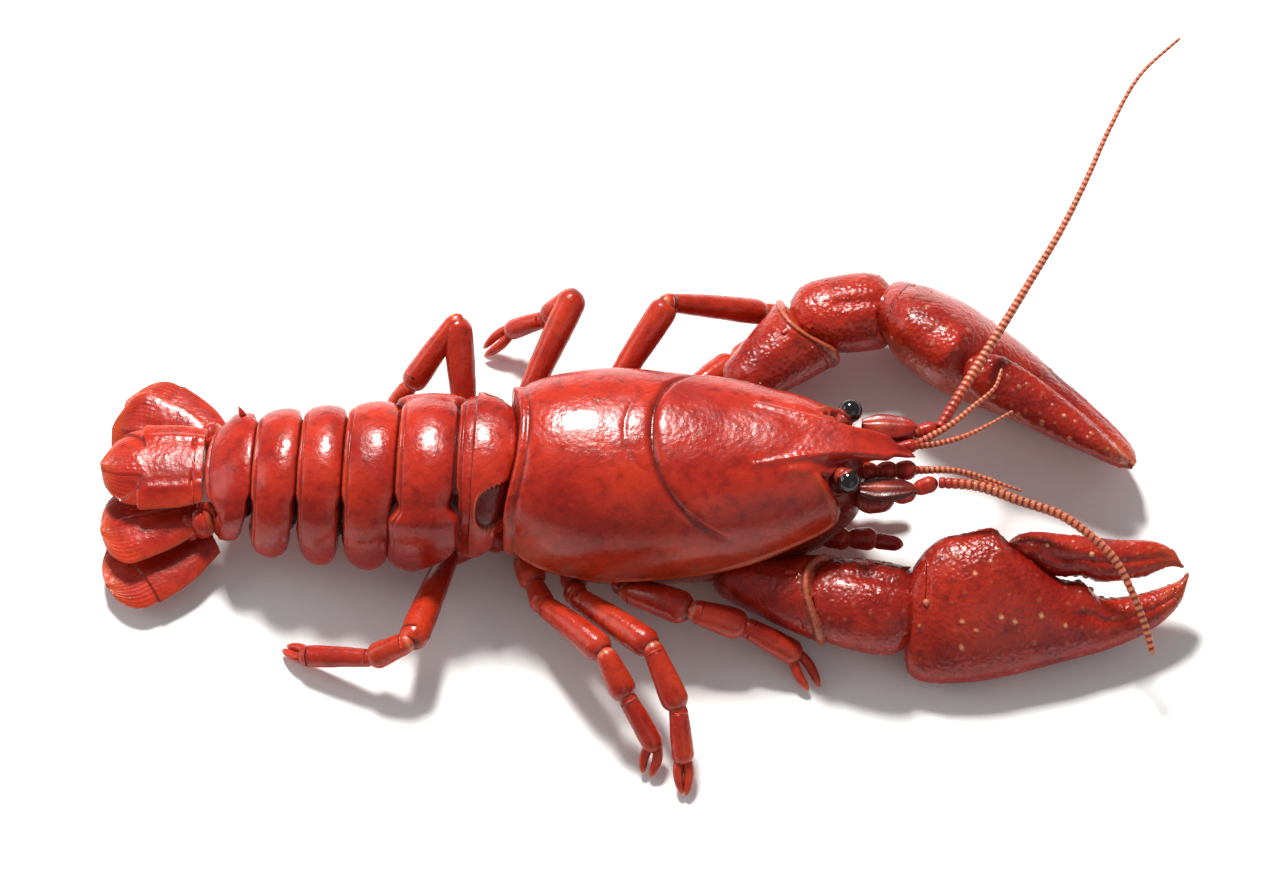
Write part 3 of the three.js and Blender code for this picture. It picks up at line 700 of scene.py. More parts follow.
def finish_carapace(form):
    """Cuts the shell's free edge and the eye rims, and paints the whole: painted shade in the groove, the
    faint arc and the rear seam, below the free edge, in the eye sockets and under the beak.
    """
    x, y, z = form.points.T
    down = carapace_angle(form.points)
    outside = past_shell_edge(x, down)
    edged = ramp(down, 0.46, 0.56) * (x > REAR_BEAD)
    from_eye = np.linalg.norm(np.stack([x, np.abs(y), z], -1) - EYE_CENTRE, axis=1)
    step = -0.6 * ramp(outside, 0, 0.45) + 0.26 * bell(outside + 0.5, 0.32)
    eye_rim = 0.3 * bell(from_eye - ORBIT_RIM_RADIUS, 0.3) * (x < 36) * (z > 21)
    form.push(step * edged + eye_rim)
    place = carapace_place(x, down)
    groove = bell(place - GROOVE_TOP, 0.5) * groove_share(down) * (x < 34)
    # Painted shade in the groove, the faint arc and the seam at the rear.
    form.tint("dark", 0.7 * groove)
    form.tint("dark", 0.35 * bell(place - faint_arc_at(down), 0.25) * (down < ARC_ANGLE))
    rear_seam = bell(x - rear_slant(down) - REAR_SEAM, 0.25)
    form.tint("dark", 0.55 * rear_seam * (x < -8) * (down < 1.7))
    # Painted shade below the shell's free edge, and on the front of the head below the eye.
    form.tint("dark", 0.75 * edged * ramp(outside, 0.1, 0.6) * (1 - 0.6 * ramp(outside, 0.8, 2.5)))
    form.tint("dark", 0.7 * edged * ramp(outside, 0.3, 1) * ramp(x, 30, 32) * ramp(z, 8, 11))
    # Painted shade in the eye sockets and under the beak.
    form.tint("dark", 0.8 * fall(from_eye, 2.3, 2.7))
    beak_top = top_at(np.minimum(x, 30)) - 0.3 * np.maximum(x - 34, 0)
    form.tint("dark", 0.6 * ramp(x, 33, 35) * ramp(beak_top - z, 2.6, 3.4))
    form.tint("warm", 0.4 * edged * bell(outside + 0.5, 0.35) + 0.2 * ramp(down, 1.1, 1.7))
    form.tint("pale", 0.4 * ramp(-z, -6, -3) * (outside > 1))


def add_carapace():
    """The body shell and the beak as one skin, with a socket for each eye."""
    sockets = [ball(on_side(EYE_CENTRE, side), ORBIT_RADIUS) for side, _ in SIDES]
    form = melt([Form.over(carapace_rings()), Form.over(rostrum_rings())], sockets, voxel=0.24, rounds=4)
    finish_carapace(form)
    form.fuzz(9, 0.12, 1).fuzz(2.2, 0.03, 2).stand_on_floor()
    add_piece("carapace_shell", [form], "shell", "carapace")


# The lid of each eye: the way it faces, given as on the left eye, and how much of the globe stays bare.
EYE_LIDS = {"left": ((-0.6, -0.6, -0.2), 0.5), "right": ((-0.5, -0.75, 0.45), 0.66)}


def add_eyes():
    """Each eye: a black globe on a short stalk, with a lid over part of it."""
    for side, word in SIDES:
        facing, bare = EYE_LIDS[word]
        centre = on_side(EYE_CENTRE, side)
        globe = ball(centre, EYE_RADIUS, count=64)
        lid = (globe.points - centre) @ unit(on_side(facing, side)) / EYE_RADIUS
        globe.tint("pale", ramp(lid, bare, bare + 0.08))
        globe.push(0.14 * ramp(lid, bare - 0.02, bare + 0.08))
        root = centre + on_side((-1.8, -2.6, -1.3), side)
        stalk = limb(root, centre + on_side((-0.2, -0.3, -0.2), side), 1.2, 1.35, pale=1.0)
        add_piece(f"eye_ball_{word}", [globe, stalk], "eye", f"eye_{word}")


# ---------------------------------------------------------------- limb segments

LIMB_OUTLINE = profile((0, 0.82), (0.2, 0.89), (0.5, 1), (0.78, 1.05), (1, 0.98))
END_ROUNDING = 1.05
LIMB_SIDES = 28


def rounded_ends(shares, length, radius):
    """1 along the middle and almost 0 at both ends, which are as round as the radius asks."""
    from_end = np.minimum(shares, 1 - shares) * length / (END_ROUNDING * radius)
    return np.sqrt(1 - np.clip(1 - from_end, 0, 0.99) ** 2)


def limb(start, end, start_radius, end_radius, flat=1.0, bow=0.0, pale=0.0):
    """One shell segment of a limb: a spindle with rounded ends, stoutest near the next joint."""
    route = Route([start, between(start, end, 0.5) + UP * bow, end])
    stout = (start_radius + end_radius) / 2
    shares = shares_with_ends(22, 14, min(0.45, END_ROUNDING * stout / route.length))

    def section(t, angle):
        radius = start_radius + (end_radius - start_radius) * t
        radius = radius * LIMB_OUTLINE(t) * rounded_ends(t, route.length, stout)
        keel = 1 + 0.07 * bell(angle_down(angle), 0.45) * bell(t - 0.5, 0.4)
        return radius * np.sin(angle), radius * flat * keel * np.cos(angle)

    from_start = shares[:, None] * route.length / stout
    from_end = (1 - shares[:, None]) * route.length / stout
    # The pale crescent near the start is a painted highlight, and the pale given for an eye stalk is its own
    # colour. The dark near the end is painted shade at the joint.
    crescent = np.maximum(pale, 0.3 * bell(from_start - 0.45, 0.14))
    joint_shade = 0.75 * fall(from_end, 0.1, 0.4) * (pale == 0)
    return swept(route, shares, LIMB_SIDES, section, pale=crescent, dark=joint_shade)


def spine(root, tip, radius):
    """A short thorn from its root to its tip."""
    outline = profile((0, 1), (0.4, 0.75), (0.8, 0.3), (1, 0.05))
    shares = np.linspace(0, 1, 12)
    warm = 0.5 * ramp(shares, 0.4, 1)[:, None]
    return tube(Route([root, tip]), shares, 14, radius * outline(shares), warm=warm)


def bar(points, radius):
    """A round bar through the points, with rounded ends."""
    route = Route(points)
    shares = shares_with_ends(30, 10, END_ROUNDING * radius / route.length)
    return tube(route, shares, 18, radius * rounded_ends(shares, route.length, radius))


# ---------------------------------------------------------------- walking legs

# The radii of a leg's five segments, from the hip out, and of the fingers of its pincer.
LEG_RADII = (2, 1.55, 2.15, 1.95, 1.55)
PINCER_RADIUS = 0.75
PINCER_OUTLINE = profile((0, 0.85), (0.3, 1), (0.7, 0.85), (0.92, 0.5), (1, 0.15))
SEGMENT_LIFT = UP * 0.3


def pincer(start, tip, gape):
    """Two stout fingers side by side, shut, or standing open by the gape at their tips."""
    axis = unit(np.array(tip) - start)
    aside = unit(np.cross(axis, UP))
    shares = np.linspace(0, 1, 26)
    radii = PINCER_RADIUS * PINCER_OUTLINE(shares)
    # The warm tips are the shell's own colour; the dark at the roots is painted shade at the joint.
    tints = {
        "warm": 0.8 * ramp(shares, 0.75, 1)[:, None],
        "dark": 0.5 * fall(shares, 0.02, 0.08)[:, None],
    }
    fingers = []
    for hand, reach in ((-1, 1.0), (1, 0.94)):
        root = start + aside * hand * 0.6
        swell = between(start, tip, 0.45) + aside * hand * (0.75 + 0.6 * gape)
        end = between(start, tip, reach) + aside * hand * (0.3 + gape)
        fingers.append(tube(Route([root, swell, end]), shares, 20, radii, **tints))
    return fingers


def leg_forms(joints, gape, girth):
    """The shell segments of a leg, each starting on top of the rounded end of the one before."""
    hip, base, knee, wrist, palm, tip = (np.array(place, float) for place in joints)
    coxa, ischium, merus, carpus, propodus = (radius * girth for radius in LEG_RADII)

    def segment(start, end, first, last, *shape):
        """A limb from one share of the way between two joints to another."""
        return limb(between(start, end, first) + SEGMENT_LIFT, between(start, end, last), *shape)

    return [
        limb(hip, between(hip, base, 0.64), coxa, coxa),
        segment(hip, base, 0.52, 1.08, ischium, merus * 0.85),
        segment(base, knee, -0.06, 1.04, merus * 0.88, merus, 0.92, 0.3),
        segment(knee, wrist, -0.09, 1.06, merus * 0.8, carpus, 0.92, 0.2),
        segment(wrist, palm, -0.1, 1.06, carpus * 0.8, propodus, 0.9, 0.1),
        *pincer(between(wrist, palm, 0.93), tip, gape),
    ]


# The joints of each leg, from its hip to the tip of its pincer. The front leg comes first.
LEGS = {
    "right": [
        [(4, -10, 4), (4.1, -14.6, 6), (13.8, -19.4, 9),
         (21.7, -20.3, 6.5), (29.6, -22.9, 3.4), (32.1, -27, 0.9)],
        [(-3.5, -10, 4), (-2.7, -16.8, 7), (8.6, -27.2, 12),
         (12.7, -34.7, 8), (13.8, -40.9, 3.4), (14, -45, 0.9)],
        [(-11, -8.5, 5), (-7.3, -18.3, 7), (1.9, -27.8, 11),
         (5.3, -33.3, 8), (9.8, -38.9, 3.4), (8.5, -42, 0.9)],
        [(-9, -1.5, 2), (-21.6, -7.4, 2), (-25.6, -26.2, 9),
         (-31.5, -27.3, 5.5), (-41.6, -25.5, 2.4), (-44.6, -23.4, 0.9)],
    ],
    "left": [
        [(8, 9, 4), (9.8, 17.2, 5), (18.6, 26.2, 4.6),
         (21.8, 29.3, 3.4), (24.6, 31.2, 2.2), (26.8, 32.6, 0.9)],
        [(-1, 9, 4), (0.2, 17.6, 6.5), (8.6, 29.8, 14),
         (22.5, 34.4, 5.6), (25.9, 35.7, 3), (28.5, 36.6, 0.9)],
        [(-9, 8, 4), (-12.2, 16.2, 5.6), (-5.1, 30.8, 14),
         (-9.4, 29.2, 9.4), (-15.2, 30.1, 4.6), (-19, 28.4, 0.9)],
        [(-9, 4, 2), (-20.3, 12, 2.2), (-22.3, 26, 13),
         (-28.9, 18.7, 6.5), (-31.6, 16.7, 2.6), (-32.7, 15.8, 0.9)],
    ],
}
# From the front leg to the last: how far its pincer stands open, and how stout it is.
PINCER_GAPES = {"right": (0.55, 0.0, 0.3, 0.1), "left": (0.0, 0.0, 0.3, 0.0)}
LEG_GIRTHS = {"right": (1.15, 1, 1, 1), "left": (1, 1, 1, 1)}


def add_legs():
    for _, word in SIDES:
        legs = zip(LEGS[word], PINCER_GAPES[word], LEG_GIRTHS[word])
        for number, (joints, gape, girth) in enumerate(legs, 1):
            forms = leg_forms(joints, gape, girth)
            for seed, form in enumerate(forms):
                form.fuzz(1.8, 0.05, seed + number * 10).stand_on_floor()
            add_piece(f"leg_shell_{number}_{word}", forms, "leg", f"leg_{number}_{word}")


# ---------------------------------------------------------------- abdomen

# The plates from front to rear. A lobe hangs down to its height, and leans back by so much from an angle on.
PLATE_MEASURES = ("length", "half_width", "top", "lobe", "sway", "lean", "lean_from")
ABDOMEN = [
    dict(zip(PLATE_MEASURES, measures))
    for measures in (
        (7.9, 11.8, 24, 7, -0.4, 0.6, 0.95),
        (8.5, 12.2, 24, 4.7, -1.2, 1.8, 1.45),
        (7.7, 12.1, 22.8, 3, -1.4, 0.5, 0.95),
        (6.6, 11.6, 21.4, 3, -1.4, 0.3, 0.95),
        (6.7, 11.1, 20.2, 3.8, -1.2, 0.8, 0.95),
        (7.5, 10.5, 17.5, 4.4, -0.2, 1.2, 0.95),
    )
]
TAIL_ROOT = {"half_width": 7.6, "top": 11.4, "lobe": 9}
STEPPED_PLATE = 1
BROAD_PLATE = 2
GAP = 0.3

# Across a plate: its rims as a share of its middle, how far it turns into the next one, its arches, and how
# square it is above and below.
RIM_SHARE = 0.865
REAR_RISE = 0.03
NEXT_SHARE = 0.6
TOP_DROP = 8
LOBE_ARCH = 3.6
MIDDLE_SHARE = 0.42
BELLY_ARCH = 1.6
PLATE_POWERS = (0.92, 0.45)

# Along a plate: how far it is tucked in, how long its lobes are, where their lean ends, and how much the
# last one is cut back at its rear corners.
PLATE_TUCK = 0.1
LOBE_SHARE = 0.58
LEAN_END = 1.95
LAST_REAR_CUT = 0.75

# How far back the hollow in the first plate's side reaches at each angle, as a share of its length.
hollow_end_at = profile(
    (0.55, 0), (0.62, 0.12), (0.7, 0.4), (0.8, 0.55), (1, 0.6), (1.2, 0.54), (1.32, 0.35), (1.4, 0),
)


def open_edges(number, t, down):
    """How far the edges of a plate stand free of its neighbours; the first one's front stays tucked in."""
    free_from = 0.5 if number == STEPPED_PLATE else -PLATE_TUCK
    return ramp(down, 0.68, 0.9) * (t >= free_from)


def in_hollow(t, down):
    """1 inside the hollow in the first plate's side."""
    end = hollow_end_at(down)
    return fall(t, end - 0.05, end) * ramp(end, 0, 0.1)


def plate_relief(number, t, down):
    """The low relief of one plate of the tail: its rear bead, its hinge knobs and, on some, more."""
    upper = fall(down, 1.9, 2.2)
    bead = 0.16 * bell(t - 0.96, 0.022) - 0.14 * bell(t - 0.9, 0.02)
    hinge = 0.3 * bell(t - 0.1, 0.06) * bell(down - 1.5, 0.09)
    rounding = -0.9 * open_edges(number, t, down) * (bell(np.maximum(t, 0), 0.05) + bell(t - 1, 0.05))
    extra = 0
    if number == STEPPED_PLATE:
        extra = -0.5 * ramp(t, 0.69, 0.715) * fall(down, 1.55, 1.8) - 0.7 * in_hollow(t, down)
    if number == BROAD_PLATE:
        extra = 0.5 * ramp(down, 0.85, 1.1)
    return bead * upper + hinge + rounding + extra


def plate_tints(number, t, down):
    """How dark, warm and pale each part of one plate of the tail is. The dark is painted shade where it
    tucks under the one before, before its rear bead, in the gaps, in the first plate's hollow and along its
    step; the pale line at the hollow's rim is a painted highlight; the warm is the shell's own colour.
    """
    # Painted shade where the plate tucks under the one before, in the dip before its rear bead, and in the
    # gaps between the lobes.
    near_edge = 0.85 * fall(t, 0.0, 0.04) + 0.45 * bell(t - 0.9, 0.015)
    gap = open_edges(number, t, down) * (bell(np.maximum(t, 0), 0.035) + bell(t - 1, 0.035))
    dark = (near_edge * fall(down, 0.7, 0.9) + gap) * (down < 2.3)
    pale = 0
    if number == STEPPED_PLATE:
        hollow_end = hollow_end_at(down)
        # Painted shade in the hollow and along its step, and a painted highlight along the hollow's rim.
        dark = np.maximum(dark, 0.75 * in_hollow(t, down) + 0.7 * bell(t - 0.71, 0.014) * (down < 1.6))
        pale = 0.3 * bell(t - hollow_end - 0.015, 0.018) * ramp(hollow_end, 0.02, 0.15)
    warm = 0.35 * ramp(down, 1.6, 2.2) + 0.2 * bell(t - 0.97, 0.03)
    return {name: np.clip(value, 0, 1) for name, value in (("dark", dark), ("warm", warm), ("pale", pale))}


def plate_x(number, front, segment, t, down):
    """How far forward each point of a plate lies: its sides narrow, lean back and stand apart."""
    narrow = 1 - 0.04 * open_edges(number, t, down)
    narrow = narrow - (1 - LOBE_SHARE) * np.clip((down - 1.38) / 0.8, 0, 1) ** 3
    if number == BROAD_PLATE:
        narrow = narrow + 0.36 * plateau(down, 0.9, 1.15, 1.5, 2.1)
    tuck = 1 - ramp(down, 1.5, 1.8) * (number != STEPPED_PLATE)
    along = np.minimum(np.where(t < 0, t * tuck, t), 1) - 0.5
    if number == len(ABDOMEN):
        cut = LAST_REAR_CUT * np.minimum(down / REAR_SLANT_ANGLE, 1) ** 2
        narrow = narrow * np.where(along > 0, 1 - cut, 1)
    lean = segment["lean"] * ramp(down, segment["lean_from"], LEAN_END)
    slant = 0
    if number == STEPPED_PLATE:
        slant = (rear_slant(down) - GAP / 2) * (1 - np.clip(t, 0, 1)) ** 2
    return front + slant - lean - segment["length"] * (0.5 + along * narrow)


def plate_rings(number, front, segment, following):
    """One plate of the tail: tucked in under the one before, swollen, and raised over the next."""
    t = stretches((-PLATE_TUCK, 0.12, 30), (0.13, 0.86, 56), (0.87, 1.04, 34))[:, None]
    angle = angles(260)
    down = angle_down(angle)
    inside = np.clip(t, 0, 1)
    swell = (1 - (2 * inside - 1) ** 2) ** 0.72
    rim = RIM_SHARE + REAR_RISE * inside
    inset = 0.05 * fall(t, -PLATE_TUCK, 0.05) + 0.08 * ramp(t, 1, 1.04)
    girth = rim + (1 - rim) * swell - inset

    def towards_next(measure):
        return segment[measure] + (following[measure] - segment[measure]) * (inside * NEXT_SHARE)

    width = towards_next("half_width") * girth
    back = towards_next("top") - (1 - girth) * TOP_DROP
    side = towards_next("lobe") + (1 - np.sqrt(swell)) * LOBE_ARCH
    middle = side + MIDDLE_SHARE * (back - side)
    upper = np.cos(angle) >= 0
    power = np.where(upper, *PLATE_POWERS)
    relief = plate_relief(number, t, down)
    y = (width + relief) * squared(np.sin(angle), power)
    belly = np.where(upper, 0, BELLY_ARCH * (1 - np.clip(np.abs(y / width), 0, 1) ** 4))
    reach = np.where(upper, back + relief - middle, middle - side)
    z = middle + reach * squared(np.cos(angle), power) + belly
    x = plate_x(number, front, segment, t, down)
    return np.stack([x, segment["sway"] + y, z], -1), plate_tints(number, t, down)


def add_abdomen():
    """Adds the plates from front to rear, and gives the place where the tail fan starts."""
    front = CARAPACE_REAR - GAP
    for index, segment in enumerate(ABDOMEN):
        number = index + 1
        following = ABDOMEN[index + 1] if number < len(ABDOMEN) else TAIL_ROOT
        shown = {**segment, "length": segment["length"] - GAP}
        rings, tints = plate_rings(number, front, shown, following)
        forms = [Form.over(rings, **tints).fuzz(5, 0.1, 20 + index).fuzz(1.6, 0.03, 30 + index)]
        if number == len(ABDOMEN):
            forms.append(spine((-52.3, 7.6, 14.1), (-53, 8.6, 15), 0.55))
        add_piece(f"abdomen_plate_{number}", forms, "shell", f"abdomen_segment_{number}")
        front -= segment["length"]
    return front


# ---------------------------------------------------------------- tail fan

TAIL_SWAY = 0.5
TAIL_THICKNESS = 1.5
LEAF_SIDES = 150
INNER_LEAF_ROLL = {"left": 0.35, "right": 0.05}


def round_tip(t, start):
    """1 up to the start, then a quarter of an ellipse down to almost 0 at the end."""
    return np.sqrt(1 - np.clip((t - start) / (1 - start), 0, 0.995) ** 2)


def leaf(line, outline, tip_start, sag, roll, seam_at, relief):
    """A tail leaf with a seam across it where seam_at says, and a thin, finely fluted round tip."""
    shares = shares_with_ends(110, 22, 0.08)

    def section(t, angle):
        across = np.sin(angle)
        top = np.cos(angle) > 0
        past_seam = t - seam_at(across)
        thin = TAIL_THICKNESS * (1 - 0.5 * ramp(t, 0.6, 0.95))
        step = -0.2 * ramp(past_seam, -0.005, 0.015)
        flutes = 0.04 * np.cos(across * 60) * ramp(t, 0.55, 0.75) * (1 - np.abs(across) ** 6)
        ripple = 0.06 * np.cos(across * 9 + 1) * ramp(t, 0.75, 1)
        height = 0.5 * thin * np.cos(angle) - sag * across * across + ripple
        width = outline(t) * round_tip(t, tip_start) * (1 - 0.05 * ramp(past_seam, 0, 0.02))
        return width * across, height + (flutes + step + relief(t, across)) * top

    across = np.sin(angles(LEAF_SIDES))
    top = np.cos(angles(LEAF_SIDES)) > 0
    # Painted shade in the seam and in the dents; the warm tips and edges are the shell's own colour.
    dark = 0.75 * bell(shares[:, None] - seam_at(across) - 0.005, 0.011)
    dark = dark + ramp(-relief(shares[:, None], across), 0.12, 0.4)
    warm = 0.45 * ramp(shares, 0.8, 1)[:, None] + 0.25 * np.abs(across) ** 8
    tints = {"dark": np.clip(dark * top, 0, 1), "warm": np.clip(warm, 0, 1)}
    return swept(Route(line), shares, LEAF_SIDES, section, roll, **tints)


NO_SEAM = 2.0

# How far each leaf reaches to either side at each share of its length.
TELSON_OUTLINE = profile((0, 6.2), (0.2, 6.9), (0.5, 7.15), (0.61, 7.1), (0.63, 6.4), (1, 6.4))
INNER_LEAF_OUTLINE = profile((0, 3.4), (0.25, 4.9), (0.5, 5.8), (0.75, 6.4), (1, 6.6))
OUTER_LEAF_OUTLINE = profile((0, 2.6), (0.3, 5.1), (0.6, 6.2), (0.8, 6.5), (1, 6.5))


def telson_seam(across):
    """Only the corners are parted, along a curve that runs forward as it runs inward."""
    side = np.abs(across)
    return np.where(side > 0.33, 0.57 + 0.5 * (side - 0.33) ** 2, NO_SEAM)


def telson_relief(t, across):
    """Two long ribs, and two dents near the front."""
    ribs = 0.22 * (bell(across - 0.62, 0.09) + bell(across + 0.62, 0.09)) * fall(t, 0.5, 0.6)
    dents = bell(t - 0.1, 0.018) * (bell(across - 0.45, 0.12) + bell(across + 0.5, 0.2))
    return ribs - 0.35 * dents


def rib_at(place):
    """The relief of one long rib, as far across the leaf as the place."""

    def relief(t, across):
        return 0.28 * bell(across - place, 0.09) * plateau(t, 0.05, 0.2, 0.75, 0.95)

    return relief


def on_tail(side, x, y, z):
    """A place on the tail fan, with y measured from the fan's middle towards the side."""
    return np.array((x, TAIL_SWAY + y * side, z))


def knuckle_forms(side):
    """The knuckle of the side leaves: a barrel with a raised band over it and two knobs."""
    band = ((-58.3, 5.3, 8.3), (-56, 6, 9.4), (-54.5, 7.7, 8.6), (-55, 8.8, 6.4))
    return [
        limb(on_tail(side, -55, 6.9, 7.6), on_tail(side, -59.4, 7.6, 7), 2.4, 2.3),
        bar([on_tail(side, *place) for place in band], 0.75),
        ball(on_tail(side, -59.3, 7.4, 7.9), 1.15, dark=0.2),
        ball(on_tail(side, -58.8, 9.1, 6.8), 0.9, dark=0.2),
    ]


def add_tail_fan(front):
    """The tail fan: the telson in the middle, and two leaves and a knuckle on each side."""
    line = [(front, TAIL_SWAY, 12.5), (-72.6, TAIL_SWAY - 0.4, 11.3)]
    middle = leaf(line, TELSON_OUTLINE, 0.64, 1.2, 0, telson_seam, telson_relief)
    add_piece("tail_leaf_middle", [middle.fuzz(3, 0.08, 41)], "shell", "telson")
    for side, word in SIDES:

        def outer_seam(across):
            return 0.7 - 0.11 * side * across + 0.05 * across**2

        line = [on_tail(side, -58.2, 5.4, 7.9), on_tail(side, -72.2, 8.8, 6.5)]
        roll = -INNER_LEAF_ROLL[word] * side
        inner = leaf(line, INNER_LEAF_OUTLINE, 0.7, 0.6, roll, lambda across: NO_SEAM, rib_at(0.05))
        line = [on_tail(side, -56, 8, 4.7), on_tail(side, -71.1, 15.7, 3.3)]
        outer = leaf(line, OUTER_LEAF_OUTLINE, 0.72, 0.5, 0, outer_seam, rib_at(-0.15 * side))
        for which, form, seed in (("inner", inner, 42), ("outer", outer, 43)):
            name = f"tail_leaf_{which}_{word}"
            add_piece(name, [form.fuzz(3, 0.08, seed)], "shell", f"uropod_{which}_{word}")
        add_piece(f"tail_knuckle_shell_{word}", knuckle_forms(side), "shell", f"tail_knuckle_{word}")


# ---------------------------------------------------------------- claws and their arms

CLAW_LENGTH = 40.5
CLAW_THICKNESS = 11.4
CLAW_START = -1.6
CLAW_SLANT = 0.25
CLAW_SLANT_REACH = 6
FINGER_START = 14.4
FINGER_END = CLAW_LENGTH - 0.6
CLAW_POWER = 0.9

# The edges of palm and finger, as distance past the wrist and across the claw towards its finger.
CLAW_OUTER = profile(
    (CLAW_START, 6.4), (-0.9, 8.2), (1.2, 9.9), (5.7, 10.9), (12.5, 10.8), (20.5, 9.9), (28.6, 8.8),
    (34.7, 6.8), (39, 3.6), (CLAW_LENGTH, 0.2),
)
PALM_INNER = profile(
    (CLAW_START, 5.4), (-0.9, 7.2), (0.7, 9), (4.4, 10.5), (8.6, 10.8), (12.2, 11.1), (12.9, 10.8),
    (14.6, 8.7), (17.2, 6.5), (20.1, 3.3), (22.2, 1.9), (24.8, 1.3), (26.8, -1.1), (31, -1.8),
    (35.5, -1.3), (39, -0.5), (CLAW_LENGTH, 0.5),
)
FINGER_OUTSIDE = profile(
    (FINGER_START, 8.2), (15.3, 9), (17, 9.5), (19.5, 9.4), (24, 8.3), (30, 6.9), (36.4, 5.6), (38.9, 3.8),
    (FINGER_END, 1.6),
)
FINGER_INSIDE = profile(
    (FINGER_START, 7.2), (17.2, 5.2), (20.1, 3), (22.2, 2.4), (24.8, 2.1), (27.4, 0.95), (31.8, 0.7),
    (34.4, 0.8), (37.6, 1.6), (FINGER_END, 1.2),
)

# Half the thickness past the wrist: the palm's as a share of CLAW_THICKNESS, the finger's as it is.
CLAW_HALF_THICKNESS = profile(
    (CLAW_START, 0.26), (-0.9, 0.32), (3, 0.45), (9, 0.5), (17, 0.46), (24, 0.36), (32, 0.26), (38, 0.16),
    (CLAW_LENGTH, 0.06),
)
FINGER_HALF_THICKNESS = profile(
    (FINGER_START, 0.9), (16.4, 2.7), (19.5, 3.5), (24, 3.4), (32, 2.4), (FINGER_END, 0.5),
)

# Each arm's joints from shoulder to claw tip, how far its claw is rolled, and what differs in its form.
ARMS = {
    "right": {
        "side": -1, "roll": 0.6, "is_shut": False, "wrist_share": 1, "bend_radius": 3, "rim_slant": 0.8,
        "shoulder": (13, -7.6, 7), "bend": (17.5, -11.6, 7), "elbow": (33.4, -16.1, 7.9),
        "cuff": (29.8, -15.4, 8), "wrist": (46.4, -17.9, 8), "tip": (85.2, -9.8, 8),
    },
    "left": {
        "side": 1, "roll": 0.95, "is_shut": True, "wrist_share": 0.88, "bend_radius": 3.6, "rim_slant": 0,
        "shoulder": (12, 8, 7), "bend": (19, 18.6, 8.4), "elbow": (29.9, 29.3, 9.2),
        "cuff": (27, 31.2, 9.2), "wrist": (42.4, 33.4, 9.3), "tip": (77.8, 8.8, 7.5),
    },
}

TUBERCLE_SEED = 11

# Cream tubercles on top of the open claw, as distance past the wrist and across the claw.
PALM_TUBERCLES = [
    (5.6, -1.3), (7.4, -3.1), (11.3, -1.7), (20.6, -4.3), (5, -5.2), (13.2, -2.6), (17.3, -2.3), (8.4, 5.3),
]
FINGER_TUBERCLES = [(19.8, 7.6), (26.2, 5.4)]

# Knobs at the joint with the wrist, as distance past it, across the claw and above it.
JOINT_KNOBS = [(0.9, 1.9, 4.2), (-0.4, -1.4, 3.7)]


class ClawPlane:
    """The frame of one claw: along it from the wrist, across it towards its finger, and above it."""

    def __init__(self, arm):
        self.start = np.array(arm["wrist"], float)
        self.direction = unit(np.array(arm["tip"]) - self.start)
        self.scale = np.linalg.norm(np.array(arm["tip"]) - self.start) / CLAW_LENGTH
        self.side = arm["side"]
        self.roll = -arm["roll"] * arm["side"]
        right = unit(np.cross(self.direction, UP))
        self.right = right * np.cos(self.roll) + np.cross(self.direction, right) * np.sin(self.roll)
        self.above = np.cross(self.right, self.direction)

    def point(self, place, across=0.0, height=0.0):
        offset = self.direction * place + self.right * across * self.side + self.above * height
        return self.start + offset * self.scale

    def read(self, points):
        """Distance along, across and above, for each of the points."""
        offset = (points - self.start) / self.scale
        return offset @ self.direction, offset @ self.right * self.side, offset @ self.above

    def tops(self, form, spots):
        """The form's upper points nearest to the given spots along and across."""
        along, across, above = self.read(form.points)
        found = []
        for spot_along, spot_across in spots:
            far = (along - spot_along) ** 2 + (across - spot_across) ** 2 + 100 * (above < 0)
            found.append(form.points[np.argmin(far)])
        return np.array(found)


def claw_form(plane, first, last, count, inner, outer, half_thickness, relief):
    """Part of a claw between its edges, from one distance past the wrist to another."""

    def section(t, angle):
        place = first + t * (last - first)
        middle = (inner(place) + outer(place)) / 2
        half = (inner(place) - outer(place)) / 2
        across = middle + half * squared(np.sin(angle), CLAW_POWER)
        height = half_thickness(place) * np.cos(angle) * (1 + relief(place, angle))
        return across * plane.side * plane.scale, height * plane.scale

    shares = shares_with_ends(count, 20, 0.06)
    form = swept(Route([plane.point(first), plane.point(last)]), shares, 190, section, plane.roll)
    offset = form.points - plane.start
    inward = np.cross(plane.direction, UP) * plane.side
    near_wrist = np.maximum(0, 1 - np.maximum(0, offset @ plane.direction) / CLAW_SLANT_REACH)
    shift = CLAW_SLANT * (offset @ inward) * near_wrist
    form.points[:, :2] += plane.direction[:2] * shift[:, None]
    return form.stand_on_floor()


def palm_relief(place, angle):
    """A groove along the fixed finger and a waist where the palm meets the wrist."""
    groove = -0.12 * bell(np.sin(angle) - 0.1, 0.14) * plateau(place, 20, 25, 37, 40)
    return groove + 0.05 * bell(place - 10, 5) - 0.05 * bell(place - 1.2, 0.8)


def finger_relief(place, angle):
    """A groove along the moving finger."""
    return -0.14 * bell(np.sin(angle) + 0.05, 0.16) * plateau(place, 18, 22, 36, 39)


def teeth(plane, edge, sizes, first, last, inset):
    """Low rounded teeth along the biting edge of a finger, each with a pale crown."""
    places = np.linspace(first, last, len(sizes))
    return [
        ball(plane.point(place, edge(place) + inset), size, (1.3, 1, 0.95), 16, pale=0.5, warm=0.3)
        for place, size in zip(places, sizes)
    ]


